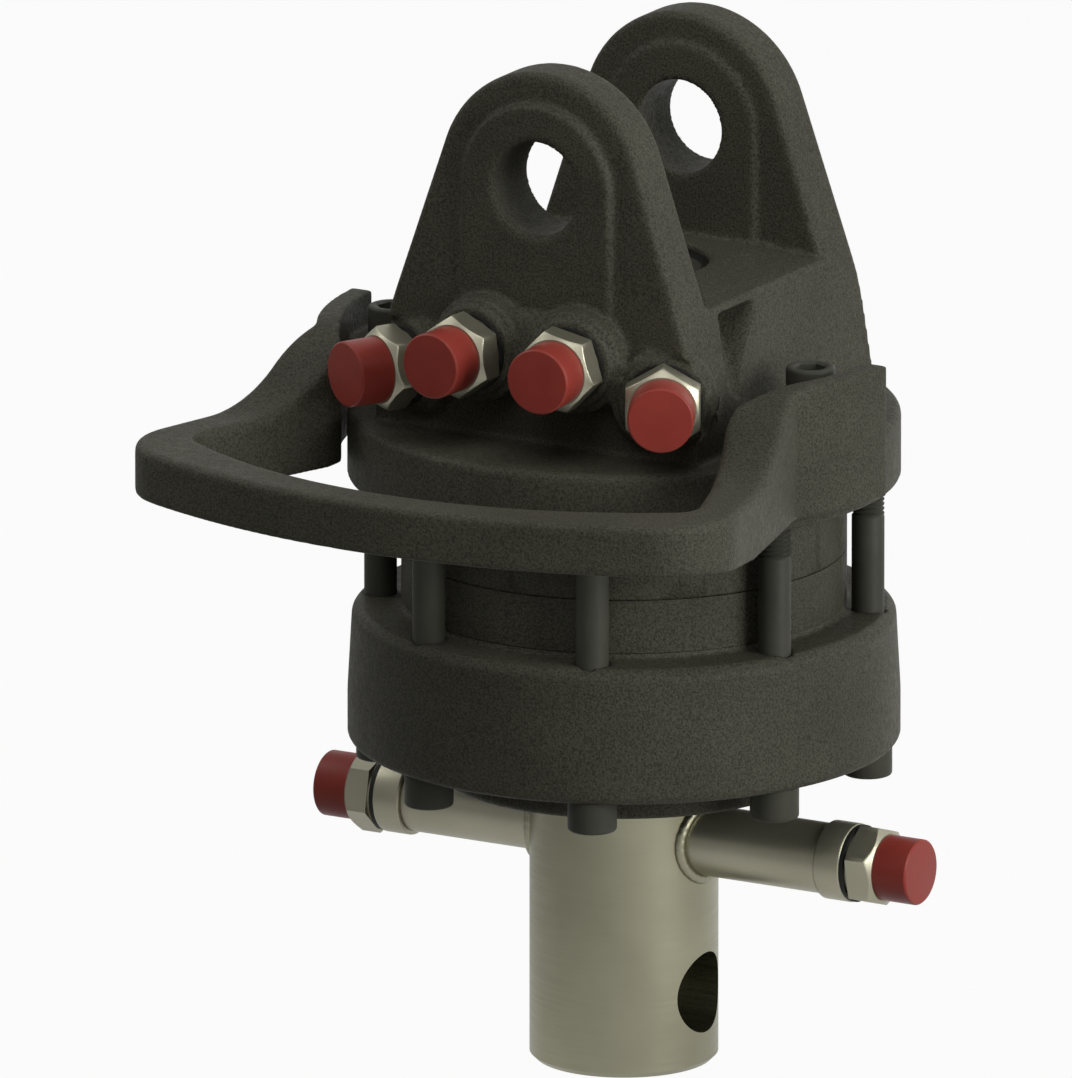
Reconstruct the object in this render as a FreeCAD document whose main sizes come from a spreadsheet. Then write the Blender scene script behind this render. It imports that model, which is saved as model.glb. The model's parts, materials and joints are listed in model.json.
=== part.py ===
import FreeCAD, Part
import math
import os

import Sketcher
from FreeCAD import Placement, Rotation, Vector

# Hydraulic rotator for a crane's grapple, about the 4.5 tonne class.
# The head hangs from a link pin between its two ears. A vane motor between the head and the lower
# housing turns the shaft, and a pin through the shaft's foot carries the grapple. Oil for the motor
# enters at the two inner ports. Oil for the grapple enters at the two outer ports, crosses to the
# shaft through a swivel and leaves through the two side tubes.
#
# Frame, in millimetres: the origin is where the link pin's axis meets the axis of rotation.
# +Z is up, the ports and the guard's bar are at -Y, the link pin lies along Y, and the side tubes
# and the grapple's pin lie along X.

doc = FreeCAD.newDocument("hydraulic_rotator")
sheet = doc.addObject("Spreadsheet::Sheet", "sizes")

driving_sizes = {
    # Ears and the head's block
    "link_bore_radius": (17.5, "hole for the link pin"),
    "ear_radius": (42.4, "round top of an ear"),
    "ear_gap": (80.0, "between the inner faces of the two link bosses"),
    "link_width": (131.0, "over the outer faces of the two link bosses"),
    "link_boss_radius": (31.0, "raised face round the link bore"),
    "link_boss_rise": (1.5, "link boss above the ear's inner face"),
    "ear_top_reach": (61.0, "ear's outer face from the axis, at its top"),
    "ear_foot_reach": (64.0, "ear's outer face from the axis, at its foot"),
    "ear_foot_drop": (46.0, "where the ears' draft ends, below the link pin"),
    "ear_seat_drop": (41.0, "where an ear's own solid begins, below the link pin"),
    "shoulder_reach": (61.6, "half width where the ears meet the block"),
    "shoulder_drop": (49.8, "the same place, below the link pin"),
    "block_reach": (67.6, "half width of the block near the flange"),
    "block_drop": (85.0, "the same place, below the link pin"),
    "deck_drop": (40.0, "deck between the ears, below the link pin"),
    "deck_fall": (4.6, "fall of the deck towards its sides"),
    "ear_round": (3.0, "round on the ears' edges"),
    "bore_chamfer": (1.5, "chamfer at the ends of the large bores"),
    "scallop_radius": (14.0, "hollow down each side of the block"),
    "scallop_top_setback": (27.0, "hollow's axis in front of the axis of rotation, at its top"),
    "scallop_foot_setback": (36.0, "the same distance at its foot"),
    "scallop_top_clearance": (3.5, "hollow's axis outside the shoulder, at its top"),
    "scallop_top_drop": (47.0, "the same end, below the link pin"),
    "scallop_foot_clearance": (21.5, "hollow's axis outside the block, at its foot"),
    "scallop_foot_drop": (88.0, "the same end, below the link pin"),
    # Flanges, seen from the top down
    "axis_to_flange": (95.5, "link pin to the top of the head's flange"),
    "flange_radius": (100.8, "rim of both flanges"),
    "upper_flange_thickness": (25.8, "head's flange"),
    "flange_round": (3.0, "round on the flanges' rims"),
    "spigot_setback": (19.6, "stator ring's rim and its faces, inside the flanges' rim"),
    "spigot_length": (26.5, "head below its flange"),
    "stator_thickness": (19.6, "stator ring"),
    "land_height": (2.0, "raised land on the lower housing"),
    "lower_flange_thickness": (50.2, "lower housing's flange"),
    "lower_flange_taper": (1.6, "how much narrower its top is than its rim"),
    "lower_flange_taper_length": (32.0, "height of that taper"),
    "lower_boss_radius": (69.0, "boss below the lower flange"),
    "lower_boss_length": (14.1, "height of that boss"),
    # Screws
    "bolt_count": (8, "main bolts"),
    "bolt_setback": (11.3, "main bolts, inside the flanges' rim"),
    "bolt_radius": (6.0, "main bolts and guard screws, M12"),
    "bolt_hole_radius": (6.6, "clearance hole for them"),
    "bolt_head_radius": (9.0, "socket head"),
    "bolt_head_height": (12.0, "socket head"),
    "bolt_engagement": (21.7, "main bolts' thread in the head's flange"),
    "socket_flats": (10.0, "hexagon in the heads, across flats"),
    "socket_depth": (6.0, "hexagon in the heads"),
    # Swivel and shaft
    "stub_radius": (25.0, "shaft inside the swivel"),
    "stub_drop": (56.0, "top of the shaft, below the link pin"),
    "neck_radius": (30.0, "shaft where the rotor sits"),
    "collar_play": (4.0, "collar on the thrust bearing, inside the lower housing's bore"),
    "collar_gap": (0.6, "side plate to the same collar"),
    "collar_thickness": (12.0, "the same collar"),
    "shaft_radius": (34.5, "shaft below the housing"),
    "boss_to_tubes": (21.3, "lower boss to the side tubes' axis"),
    "tubes_to_pin": (57.6, "side tubes' axis to the grapple pin's axis"),
    "pin_to_end": (28.2, "grapple pin's axis to the shaft's end"),
    "pin_bore_radius": (15.0, "hole for the grapple's pin"),
    "shaft_chamfer": (2.0, "shaft's lower edge"),
    "running_clearance": (0.05, "radial play of a shaft in its bush"),
    "seat_clearance": (0.02, "radial play of a part on its seat"),
    "channel_width": (7.0, "oil channel round the stub"),
    "channel_depth": (3.0, "the same channel"),
    "channel_pitch": (16.0, "from one channel to the next"),
    "ring_width": (4.0, "swivel seal ring"),
    "oilway_radius": (4.5, "drilled oilways"),
    "oilway_start": (19.0, "start of the inner ports' oilways, behind the ports' faces"),
    "oilway_offset": (12.0, "shaft's long oilways from its axis"),
    "plug_radius": (6.0, "plug that closes a long oilway"),
    "plug_length": (8.0, "the same plug"),
    # Cover over the swivel
    "cover_radius": (31.0, "cover in the deck"),
    "cover_thickness": (6.0, "the same cover"),
    "cover_depth": (4.0, "cover's top face below the deck"),
    "snap_ring_width": (1.5, "ring that holds the cover"),
    "snap_ring_bite": (1.6, "how far the ring enters its groove"),
    "cover_seal_section": (2.4, "seal round the cover"),
    # Vane motor
    "rotor_setback": (29.2, "rotor, inside the stator ring's rim"),
    "rotor_play": (0.1, "rotor to each side face"),
    "lobe_lift": (8.0, "how far the stator's lobes reach past the rotor"),
    "lobe_narrowing": (6.0, "how much tighter a lobe's curve is than the rotor's"),
    "lobe_count": (4, "stator's lobes"),
    "vane_count": (8, "vanes"),
    "vane_thickness": (3.2, "vane"),
    "vane_play": (0.05, "vane in its slot, each side"),
    "vane_slot_wall": (6.0, "rotor left between a slot and the shaft"),
    "vane_spring_height": (2.2, "leaf spring under a vane"),
    "spring_thickness": (0.5, "the same spring"),
    "key_width": (8.0, "rotor key"),
    "key_height": (7.0, "rotor key"),
    "key_length": (18.0, "rotor key"),
    "side_plate_setback": (18.7, "plate under the rotor, inside the stator ring's rim"),
    "side_plate_thickness": (4.0, "the same plate"),
    "side_plate_ledge": (2.5, "ledge of the lower housing that carries it"),
    "face_seal_setback": (8.2, "bore of the stator's face seals, inside its rim"),
    "face_seal_width": (3.5, "the same seals"),
    "face_seal_depth": (2.2, "their grooves"),
    "dowel_radius": (4.0, "dowel through the stator"),
    "dowel_setback": (14.2, "dowels, inside the stator ring's rim"),
    "dowel_depth": (10.0, "dowel beyond the stator, each side"),
    # Bearings and seals
    "upper_bush_wall": (4.0, "bush round the stub"),
    "upper_bush_length": (41.0, "the same bush"),
    "lower_bush_wall": (4.0, "bush round the shaft"),
    "lower_bush_length": (22.5, "the same bush"),
    "race_thickness": (4.5, "thrust bearing's washers"),
    "race_inner_play": (4.5, "the washers, round the shaft"),
    "race_outer_play": (6.0, "the washers, inside the lower housing's bore"),
    "race_gap_share": (1.1, "gap between the washers over a ball's radius"),
    "ball_share": (0.33, "a ball's radius over a washer's width"),
    "ball_count": (20, "thrust bearing's balls"),
    "cage_share": (0.48, "cage's thickness over a ball's radius"),
    "cage_inset": (0.065, "cage inside the washers' edges, over their width"),
    "seal_wall": (11.5, "shaft seal and wiper, from the shaft out"),
    "seal_length": (7.0, "shaft seal"),
    "wiper_length": (3.8, "wiper"),
    # Ports and their fittings
    "inner_port_across": (20.1, "inner port's face from the middle plane"),
    "inner_port_front": (75.8, "inner port's face in front of the axis"),
    "inner_port_drop": (60.8, "inner port below the link pin"),
    "outer_port_across": (53.9, "outer port's face from the middle plane"),
    "outer_port_front": (64.9, "outer port's face in front of the axis"),
    "outer_port_drop": (72.7, "outer port below the link pin"),
    "port_boss_radius": (16.6, "round boss of a port"),
    "port_boss_depth": (34.0, "how far a port's boss reaches into the block"),
    "port_block_radius": (19.4, "thicker casting round the port bosses"),
    "port_block_setback": (2.5, "front of that casting, behind the ports' faces"),
    "port_web_depth": (22.0, "axis of the webs between the bosses, behind the ports' faces"),
    "spot_face_margin": (1.5, "flat cut round a port, beyond its boss"),
    "spot_face_reach": (25.0, "how far that cut clears the casting in front of a port"),
    "port_depth": (17.0, "threaded port"),
    "port_radius": (10.0, "thread of a port"),
    "fitting_hex": (27.0, "adapter's hexagon, across flats"),
    "fitting_hex_length": (11.2, "adapter's hexagon"),
    "fitting_bore_radius": (6.0, "way through an adapter"),
    "nipple_radius": (10.4, "adapter inside the cap"),
    "nipple_length": (11.0, "the same part of the adapter"),
    "seal_washer_thickness": (1.6, "bonded seal under an adapter"),
    "seal_washer_radius": (14.2, "the same seal"),
    "cap_radius": (12.1, "dust cap"),
    "cap_length": (13.8, "dust cap"),
    "cap_end": (2.2, "dust cap's end wall"),
    # Side tubes
    "tube_radius": (13.0, "side tube"),
    "tube_bore_radius": (9.0, "side tube"),
    "tube_reach": (87.0, "tube's end from the axis"),
    "weld_radius": (15.0, "weld round the tube's root"),
    "weld_length": (4.0, "the same weld"),
    "end_boss_radius": (14.5, "boss on the tube's end"),
    "end_boss_length": (11.0, "the same boss"),
    # Guard
    "guard_bar_reach": (185.0, "front of the guard's bar from the axis"),
    "guard_bar_depth": (18.0, "the same bar, front to back"),
    "guard_front_radius": (262.0, "curve of the bar's front"),
    "guard_inner_radius": (180.0, "curve of the bar's back"),
    "guard_corner_across": (127.3, "where the arm's outer line meets the bar"),
    "guard_inner_corner_across": (105.5, "where the arm's inner line meets the bar"),
    "guard_corner_round": (31.0, "guard's outer corners"),
    "guard_inner_round": (9.0, "guard's inner corners"),
    "guard_play": (2.7, "guard's wall, outside the flange's rim"),
    "guard_wall": (9.0, "that wall"),
    "guard_wall_front": (50.0, "where the wall turns into the arm, in front of the axis"),
    "guard_knee_setback": (18.2, "knee inside each arm, inside the flange's rim"),
    "guard_knee_length": (7.6, "the same knee, from the wall round the flange"),
    "guard_rear_gap": (4.0, "guard's rear ends in front of the axis"),
    "guard_top_drop": (65.0, "guard's top at the rear, below the link pin"),
    "guard_bar_top_drop": (90.5, "top of the bar"),
    "guard_bar_bottom_drop": (109.3, "bottom of the bar"),
    "guard_bottom_drop": (114.2, "bottom of the arms"),
    "guard_slope_start": (40.0, "where the guard's top begins to fall, in front of the axis"),
    "guard_slope_end": (106.0, "where it has fallen to the bar"),
    "guard_edge_round": (2.5, "round on the guard's long edges"),
    "lug_thickness": (17.9, "lug under a guard screw"),
    "lug_radius": (12.0, "lug round its screw"),
    "guard_screw_setback": (13.2, "guard screw across, inside the flange's rim"),
    "guard_screw_front": (16.8, "guard screw in front of the axis"),
    "guard_screw_engagement": (17.0, "guard screw's thread in the flange"),
}


class Size:
    """A number together with the sheet's expression that gives it."""

    def __init__(self, number, text):
        self.number = number
        self.text = text

    def __float__(self):
        return float(self.number)

    def __neg__(self):
        return Size(-self.number, f"(-{self.text})")

    def __add__(self, other):
        other = as_size(other)
        return Size(self.number + other.number, f"({self.text} + {other.text})")

    def __sub__(self, other):
        other = as_size(other)
        return Size(self.number - other.number, f"({self.text} - {other.text})")

    def __mul__(self, factor):
        factor = as_size(factor)
        return Size(self.number * factor.number, f"({self.text} * {factor.text})")

    def __truediv__(self, divisor):
        return Size(self.number / divisor, f"({self.text} / {divisor})")


class Near(float):
    """Where the solver starts a coordinate that an arc or a tangent settles."""

    def __neg__(self):
        return Near(-float(self))


def as_size(value):
    return value if isinstance(value, Size) else Size(value, f"({value})")


for row, (alias, (number, note)) in enumerate(driving_sizes.items(), start=1):
    sheet.set(f"A{row}", note)
    sheet.set(f"B{row}", str(number))
    sheet.setAlias(f"B{row}", alias)
doc.recompute()


def size(alias):
    """The driving size of that name, read back from the sheet."""
    return Size(sheet.get(alias), f"sizes.{alias}")


# Radii that follow from the flanges' rim and the shaft
flange_rim = size("flange_radius")
spigot_radius = flange_rim - size("spigot_setback")
bolt_circle = flange_rim - size("bolt_setback")
rotor_radius = spigot_radius - size("rotor_setback")
side_plate_radius = spigot_radius - size("side_plate_setback")
cavity_radius = side_plate_radius - size("side_plate_ledge")
face_seal_radius = spigot_radius - size("face_seal_setback")
dowel_circle = spigot_radius - size("dowel_setback")
collar_radius = cavity_radius - size("collar_play")
race_inner = size("shaft_radius") + size("race_inner_play")
race_outer = cavity_radius - size("race_outer_play")
race_width = race_outer - race_inner
ball_circle = (race_inner + race_outer) / 2
ball_radius = race_width * size("ball_share")
cage_thickness = ball_radius * size("cage_share")
guard_screw_across = flange_rim - size("guard_screw_setback")

# Levels that follow from the driving sizes, from the top down
flange_top = -size("axis_to_flange")
flange_bottom = flange_top - size("upper_flange_thickness")
stator_top = flange_bottom - size("spigot_length")
stator_bottom = stator_top - size("stator_thickness")
lower_flange_top = stator_bottom - size("land_height")
lower_flange_bottom = lower_flange_top - size("lower_flange_thickness")
boss_bottom = lower_flange_bottom - size("lower_boss_length")
tube_level = boss_bottom - size("boss_to_tubes")
pin_level = tube_level - size("tubes_to_pin")
shaft_end = pin_level - size("pin_to_end")
deck = -size("deck_drop")
stub_top = -size("stub_drop")
plate_bottom = stator_bottom - size("side_plate_thickness")
collar_top = plate_bottom - size("collar_gap")
collar_bottom = collar_top - size("collar_thickness")
upper_race_bottom = collar_bottom - size("race_thickness")
race_gap = ball_radius * size("race_gap_share")
ball_level = upper_race_bottom - race_gap / 2
lower_race_top = upper_race_bottom - race_gap
bearing_floor = lower_race_top - size("race_thickness")
lower_bush_bottom = bearing_floor - size("lower_bush_length")
ring_pitch = size("channel_pitch")
channel_levels = [-size("outer_port_drop"), -size("outer_port_drop") - ring_pitch]
ring_levels = [channel_levels[0] + ring_pitch / 2, channel_levels[0] - ring_pitch / 2,
               channel_levels[1] - ring_pitch / 2]
swivel_bore = size("stub_radius") + size("running_clearance")
upper_bush_outer = swivel_bore + size("upper_bush_wall")
upper_bush_top = stator_top + size("upper_bush_length")
shaft_bore = size("shaft_radius") + size("running_clearance")
lower_bush_outer = shaft_bore + size("lower_bush_wall")
seal_outer = size("shaft_radius") + size("seal_wall")
cover_top = deck - size("cover_depth")
cover_bottom = cover_top - size("cover_thickness")
hole_ends = 1.0


def origin_feature(body, role):
    return [item for item in body.Origin.OriginFeatures if item.Role == role][0]


def new_body(label):
    body = doc.addObject("PartDesign::Body", label)
    body.Label = label
    body.AllowCompound = True
    return body


def new_sketch(body, name, plane, level=None):
    """Empty sketch on one of the body's own planes, raised by level along its normal."""
    sketch = body.newObject("Sketcher::SketchObject", name)
    sketch.AttachmentSupport = [(origin_feature(body, plane), "")]
    sketch.MapMode = "FlatFace"
    if level is not None:
        sketch.setExpression("AttachmentOffset.Base.z", as_size(level).text)
    return sketch


def bind(sketch, kind, geometry, point, value):
    """Hold one coordinate, at its sheet value where it has one."""
    if isinstance(value, Near):
        return
    number = sketch.addConstraint(Sketcher.Constraint(kind, -1, 1, geometry, point, float(value)))
    if isinstance(value, Size):
        sketch.setExpression(f"Constraints[{number}]", value.text)


def bind_radius(sketch, geometry, radius):
    number = sketch.addConstraint(Sketcher.Constraint("Radius", geometry, float(radius)))
    if isinstance(radius, Size):
        sketch.setExpression(f"Constraints[{number}]", radius.text)


def add_outline(sketch, corners, arcs=None, tangents=()):
    """Closed outline through (across, up) corners.

    arcs maps a corner's number to (centre across, centre up, radius, turn) for the stretch that
    follows it, with turn 1 for anticlockwise and -1 for clockwise. tangents are the corners where
    two stretches meet smoothly.
    """
    arcs = arcs or {}
    stretches = []
    count = len(corners)
    for index, corner in enumerate(corners):
        start = Vector(float(corner[0]), float(corner[1]), 0)
        following = corners[(index + 1) % count]
        end = Vector(float(following[0]), float(following[1]), 0)
        if index not in arcs:
            geometry = sketch.addGeometry(Part.LineSegment(start, end), False)
            stretches.append((geometry, 1, 2))
            continue
        across, up, radius, turn = arcs[index]
        centre = Vector(float(across), float(up), 0)
        circle = Part.Circle(centre, Vector(0, 0, 1), float(radius))
        angles = [math.atan2(point.y - centre.y, point.x - centre.x) for point in (start, end)]
        if turn < 0:
            angles.reverse()
        geometry = sketch.addGeometry(Part.ArcOfCircle(circle, angles[0], angles[1]), False)
        stretches.append((geometry, 1, 2) if turn > 0 else (geometry, 2, 1))
        bind(sketch, "DistanceX", geometry, 3, across)
        bind(sketch, "DistanceY", geometry, 3, up)
        bind_radius(sketch, geometry, radius)
    for index in range(count):
        before = stretches[index - 1]
        after = stretches[index]
        joint = "Tangent" if index in tangents else "Coincident"
        sketch.addConstraint(Sketcher.Constraint(joint, before[0], before[2], after[0], after[1]))
        bind(sketch, "DistanceX", after[0], after[1], corners[index][0])
        bind(sketch, "DistanceY", after[0], after[1], corners[index][1])


def add_circle(sketch, across, up, radius):
    centre = Vector(float(across), float(up), 0)
    geometry = sketch.addGeometry(Part.Circle(centre, Vector(0, 0, 1), float(radius)), False)
    bind(sketch, "DistanceX", geometry, 3, across)
    bind(sketch, "DistanceY", geometry, 3, up)
    bind_radius(sketch, geometry, radius)


def outline(body, name, plane, corners, arcs=None, tangents=(), level=None):
    sketch = new_sketch(body, name, plane, level)
    add_outline(sketch, corners, arcs, tangents)
    return sketch


def circles(body, name, plane, places, level=None):
    """Sketch of circles, each given as (across, up, radius)."""
    sketch = new_sketch(body, name, plane, level)
    for across, up, radius in places:
        add_circle(sketch, across, up, radius)
    return sketch


def extrude(body, kind, name, sketch, length, symmetric=False, backwards=False):
    feature = body.newObject(f"PartDesign::{kind}", name)
    feature.Profile = sketch
    feature.setExpression("Length", as_size(length).text)
    if symmetric:
        feature.SideType = "Symmetric"
    feature.Reversed = backwards
    body.Tip = feature
    return feature


def pad(body, name, sketch, length, symmetric=False, backwards=False):
    return extrude(body, "Pad", name, sketch, length, symmetric, backwards)


def pocket(body, name, sketch, length, symmetric=False, backwards=False):
    return extrude(body, "Pocket", name, sketch, length, symmetric, backwards)


def revolve(body, name, corners, arcs=None, cut=False, axis="V_Axis"):
    """Turned feature: about Z from (radius, height), or about X from (along, radius)."""
    sketch = outline(body, f"{name}_profile", "XZ_Plane", corners, arcs)
    feature = body.newObject("PartDesign::Groove" if cut else "PartDesign::Revolution", name)
    feature.Profile = sketch
    feature.ReferenceAxis = (sketch, [axis])
    feature.Angle = 360
    body.Tip = feature
    return feature


def turned(label, corners, arcs=None, axis="V_Axis"):
    body = new_body(label)
    revolve(body, f"{label}_turn", corners, arcs, axis=axis)
    return body


def ring(label, inner, outer, bottom, top):
    return turned(label, [(inner, bottom), (outer, bottom), (outer, top), (inner, top)])


def polar(body, name, feature, count):
    pattern = body.newObject("PartDesign::PolarPattern", name)
    pattern.Originals = [feature]
    pattern.Axis = (origin_feature(body, "Z_Axis"), [""])
    pattern.Angle = 360
    pattern.setExpression("Occurrences", count.text)
    body.Tip = pattern
    return pattern


def mirror(body, name, features):
    """The same features on the other side of the middle plane."""
    pattern = body.newObject("PartDesign::Mirrored", name)
    pattern.Originals = features
    pattern.MirrorPlane = (origin_feature(body, "YZ_Plane"), [""])
    body.Tip = pattern
    return pattern


def rod(body, name, radius, start, end, cut=True):
    """Round bar added between two points, or a hole drilled between them."""
    kind = "PartDesign::SubtractiveCylinder" if cut else "PartDesign::AdditiveCylinder"
    feature = body.newObject(kind, name)
    feature.setExpression("Radius", as_size(radius).text)
    first = Vector(*[float(value) for value in start])
    last = Vector(*[float(value) for value in end])
    feature.Height = (last - first).Length
    feature.Placement = Placement(first, Rotation(Vector(0, 0, 1), last - first))
    body.Tip = feature
    return feature


def dress(body, kind, name, amount, picks):
    """Fillet or chamfer on the edges that picks accepts."""
    doc.recompute()
    base = body.Tip
    names = [f"Edge{number}" for number, edge in enumerate(base.Shape.Edges, start=1) if picks(edge)]
    feature = body.newObject(f"PartDesign::{kind}", name)
    feature.Base = (base, names)
    feature.setExpression("Radius" if kind == "Fillet" else "Size", as_size(amount).text)
    body.Tip = feature
    return feature


def place(body, across, front, up, angle=0.0):
    """Put a body at a point, turned about Z."""
    body.Placement = Placement(Vector(0, 0, 0), Rotation(Vector(0, 0, 1), angle))
    for letter, value in zip("xyz", (across, front, up)):
        body.setExpression(f"Placement.Base.{letter}", as_size(value).text)


def is_circle(edge, radius):
    return hasattr(edge.Curve, "Radius") and abs(edge.Curve.Radius - float(radius)) < 1e-4


def middle(edge):
    return edge.valueAt((edge.FirstParameter + edge.LastParameter) / 2)


def hexagon(flats):
    """Corners of a hexagon about the origin, with two flats level."""
    half = flats / 2
    side = flats * round(1 / (2 * math.sqrt(3)), 6)
    return [(side, half), (-side, half), (-side * 2, 0.0), (-side, -half), (side, -half), (side * 2, 0.0)]


def both_sides(half):
    """Outline of a right half, from top to bottom, carried on up the left."""
    return half + [(-across if isinstance(across, Size) else Near(-across), up)
                   for across, up in reversed(half)]


bolt_turn = math.radians(22.5)
bolt_x = bolt_circle * round(math.sin(bolt_turn), 6)
bolt_y = -bolt_circle * round(math.cos(bolt_turn), 6)

port_places = []
for side in (-1, 1):
    port_places.append((size("outer_port_across") * side, -size("outer_port_front"),
                        -size("outer_port_drop"), 27.0 * side))
    port_places.append((size("inner_port_across") * side, -size("inner_port_front"),
                        -size("inner_port_drop"), 5.0 * side))
port_places.sort(key=lambda entry: float(entry[0]))


def outward(angle):
    """Direction of a port that is turned by angle from straight ahead."""
    turn = math.radians(angle)
    return Vector(math.sin(turn), -math.cos(turn), 0)


def point_of(place_entry, depth=0.0):
    """Point on a port's axis, depth behind its face."""
    face = Vector(*[float(value) for value in place_entry[:3]])
    return face - outward(place_entry[3]) * float(depth)


def head_blank(body):
    """Outside of the head's block and ears, which the head's three solids are cut from."""
    radius = size("ear_radius")
    across, drop = float(size("shoulder_reach")), float(size("shoulder_drop"))
    reach = math.hypot(across, drop)
    lean = math.acos(float(radius) / reach) - math.atan2(drop, across)
    tangent = (Near(float(radius) * math.cos(lean)), Near(float(radius) * math.sin(lean)))
    half = [tangent, (size("shoulder_reach"), -size("shoulder_drop")),
            (size("block_reach"), -size("block_drop")), (size("block_reach"), flange_top - 2.0)]
    corners = both_sides(half)
    last = len(corners) - 1
    front = outline(body, "front_outline", "XZ_Plane", corners,
                    {last: (0.0, 0.0, radius, -1)}, (0, last))
    pad(body, "block", front, size("ear_foot_reach") * 2, symmetric=True)

    beyond = size("ear_foot_reach") + 20.0
    above = radius + 5.0
    drafts = new_sketch(body, "draft_outline", "YZ_Plane")
    for side in (-1, 1):
        add_outline(drafts, [(size("ear_top_reach") * side, above),
                             (size("ear_foot_reach") * side, -size("ear_foot_drop")),
                             (beyond * side, -size("ear_foot_drop")), (beyond * side, above)])
    pocket(body, "ear_draft", drafts, size("block_reach") * 3, symmetric=True)

    wide = size("block_reach") + 12.0
    slot_corners = [(-wide, deck - size("deck_fall")), (-size("cover_radius"), deck),
                    (size("cover_radius"), deck), (wide, deck - size("deck_fall")),
                    (wide, above), (-wide, above)]
    ear_slot = outline(body, "ear_slot_outline", "XZ_Plane", slot_corners)
    pocket(body, "ear_slot", ear_slot, size("ear_gap") + size("link_boss_rise") * 2, symmetric=True)
    dress(body, "Fillet", "ear_rounds", size("ear_round"),
          lambda edge: middle(edge).z > float(radius) - 1.0 and abs(middle(edge).x) < 1.0)

    boss = size("link_boss_radius")
    boss_foot = -size("ear_foot_drop") - 8.0
    tombstone = outline(body, "link_boss_outline", "XZ_Plane",
                        [(Near(boss), 0.0), (-Near(boss), 0.0), (-boss, boss_foot), (boss, boss_foot)],
                        {0: (0.0, 0.0, boss, 1)})
    pad(body, "link_bosses", tombstone, size("link_width"), symmetric=True)
    boss_slot = outline(body, "link_slot_outline", "XZ_Plane", slot_corners)
    pocket(body, "link_slot", boss_slot, size("ear_gap"), symmetric=True)

    top_across = size("shoulder_reach") + size("scallop_top_clearance")
    foot_across = size("block_reach") + size("scallop_foot_clearance")
    for side, name in ((1, "right"), (-1, "left")):
        rod(body, f"scallop_{name}", size("scallop_radius"),
            (top_across * side, -size("scallop_top_setback"), -size("scallop_top_drop")),
            (foot_across * side, -size("scallop_foot_setback"), -size("scallop_foot_drop")))


def ears():
    """The head's two ears. They belong to its casting, but are solids of their own from just above
    the ports upwards, which keeps the gap between them open for the crane's link."""
    inner, seat = size("ear_gap") / 2, -size("ear_seat_drop")
    outside, above = size("link_width"), size("ear_radius") + 5.0
    for side, name in ((-1, "front"), (1, "rear")):
        body = new_body(f"head_ear_{name}")
        head_blank(body)
        link = circles(body, f"link_bore_{name}_outline", "XZ_Plane",
                       [(0.0, 0.0, size("link_bore_radius"))])
        pocket(body, f"link_bore_{name}", link, size("link_width") + 2.0, symmetric=True)
        dress(body, "Chamfer", f"link_bore_{name}_edges", size("bore_chamfer"),
              lambda edge: is_circle(edge, size("link_bore_radius"))
              and abs(abs(middle(edge).y) - float(size("link_width")) / 2) < 0.01)
        rest = outline(body, f"below_ear_{name}_outline", "YZ_Plane", [
            (inner * side, above), (-outside * side, above), (-outside * side, flange_bottom),
            (outside * side, flange_bottom), (outside * side, seat), (inner * side, seat)])
        pocket(body, f"below_ear_{name}", rest, size("block_reach") * 3, symmetric=True)


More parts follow.
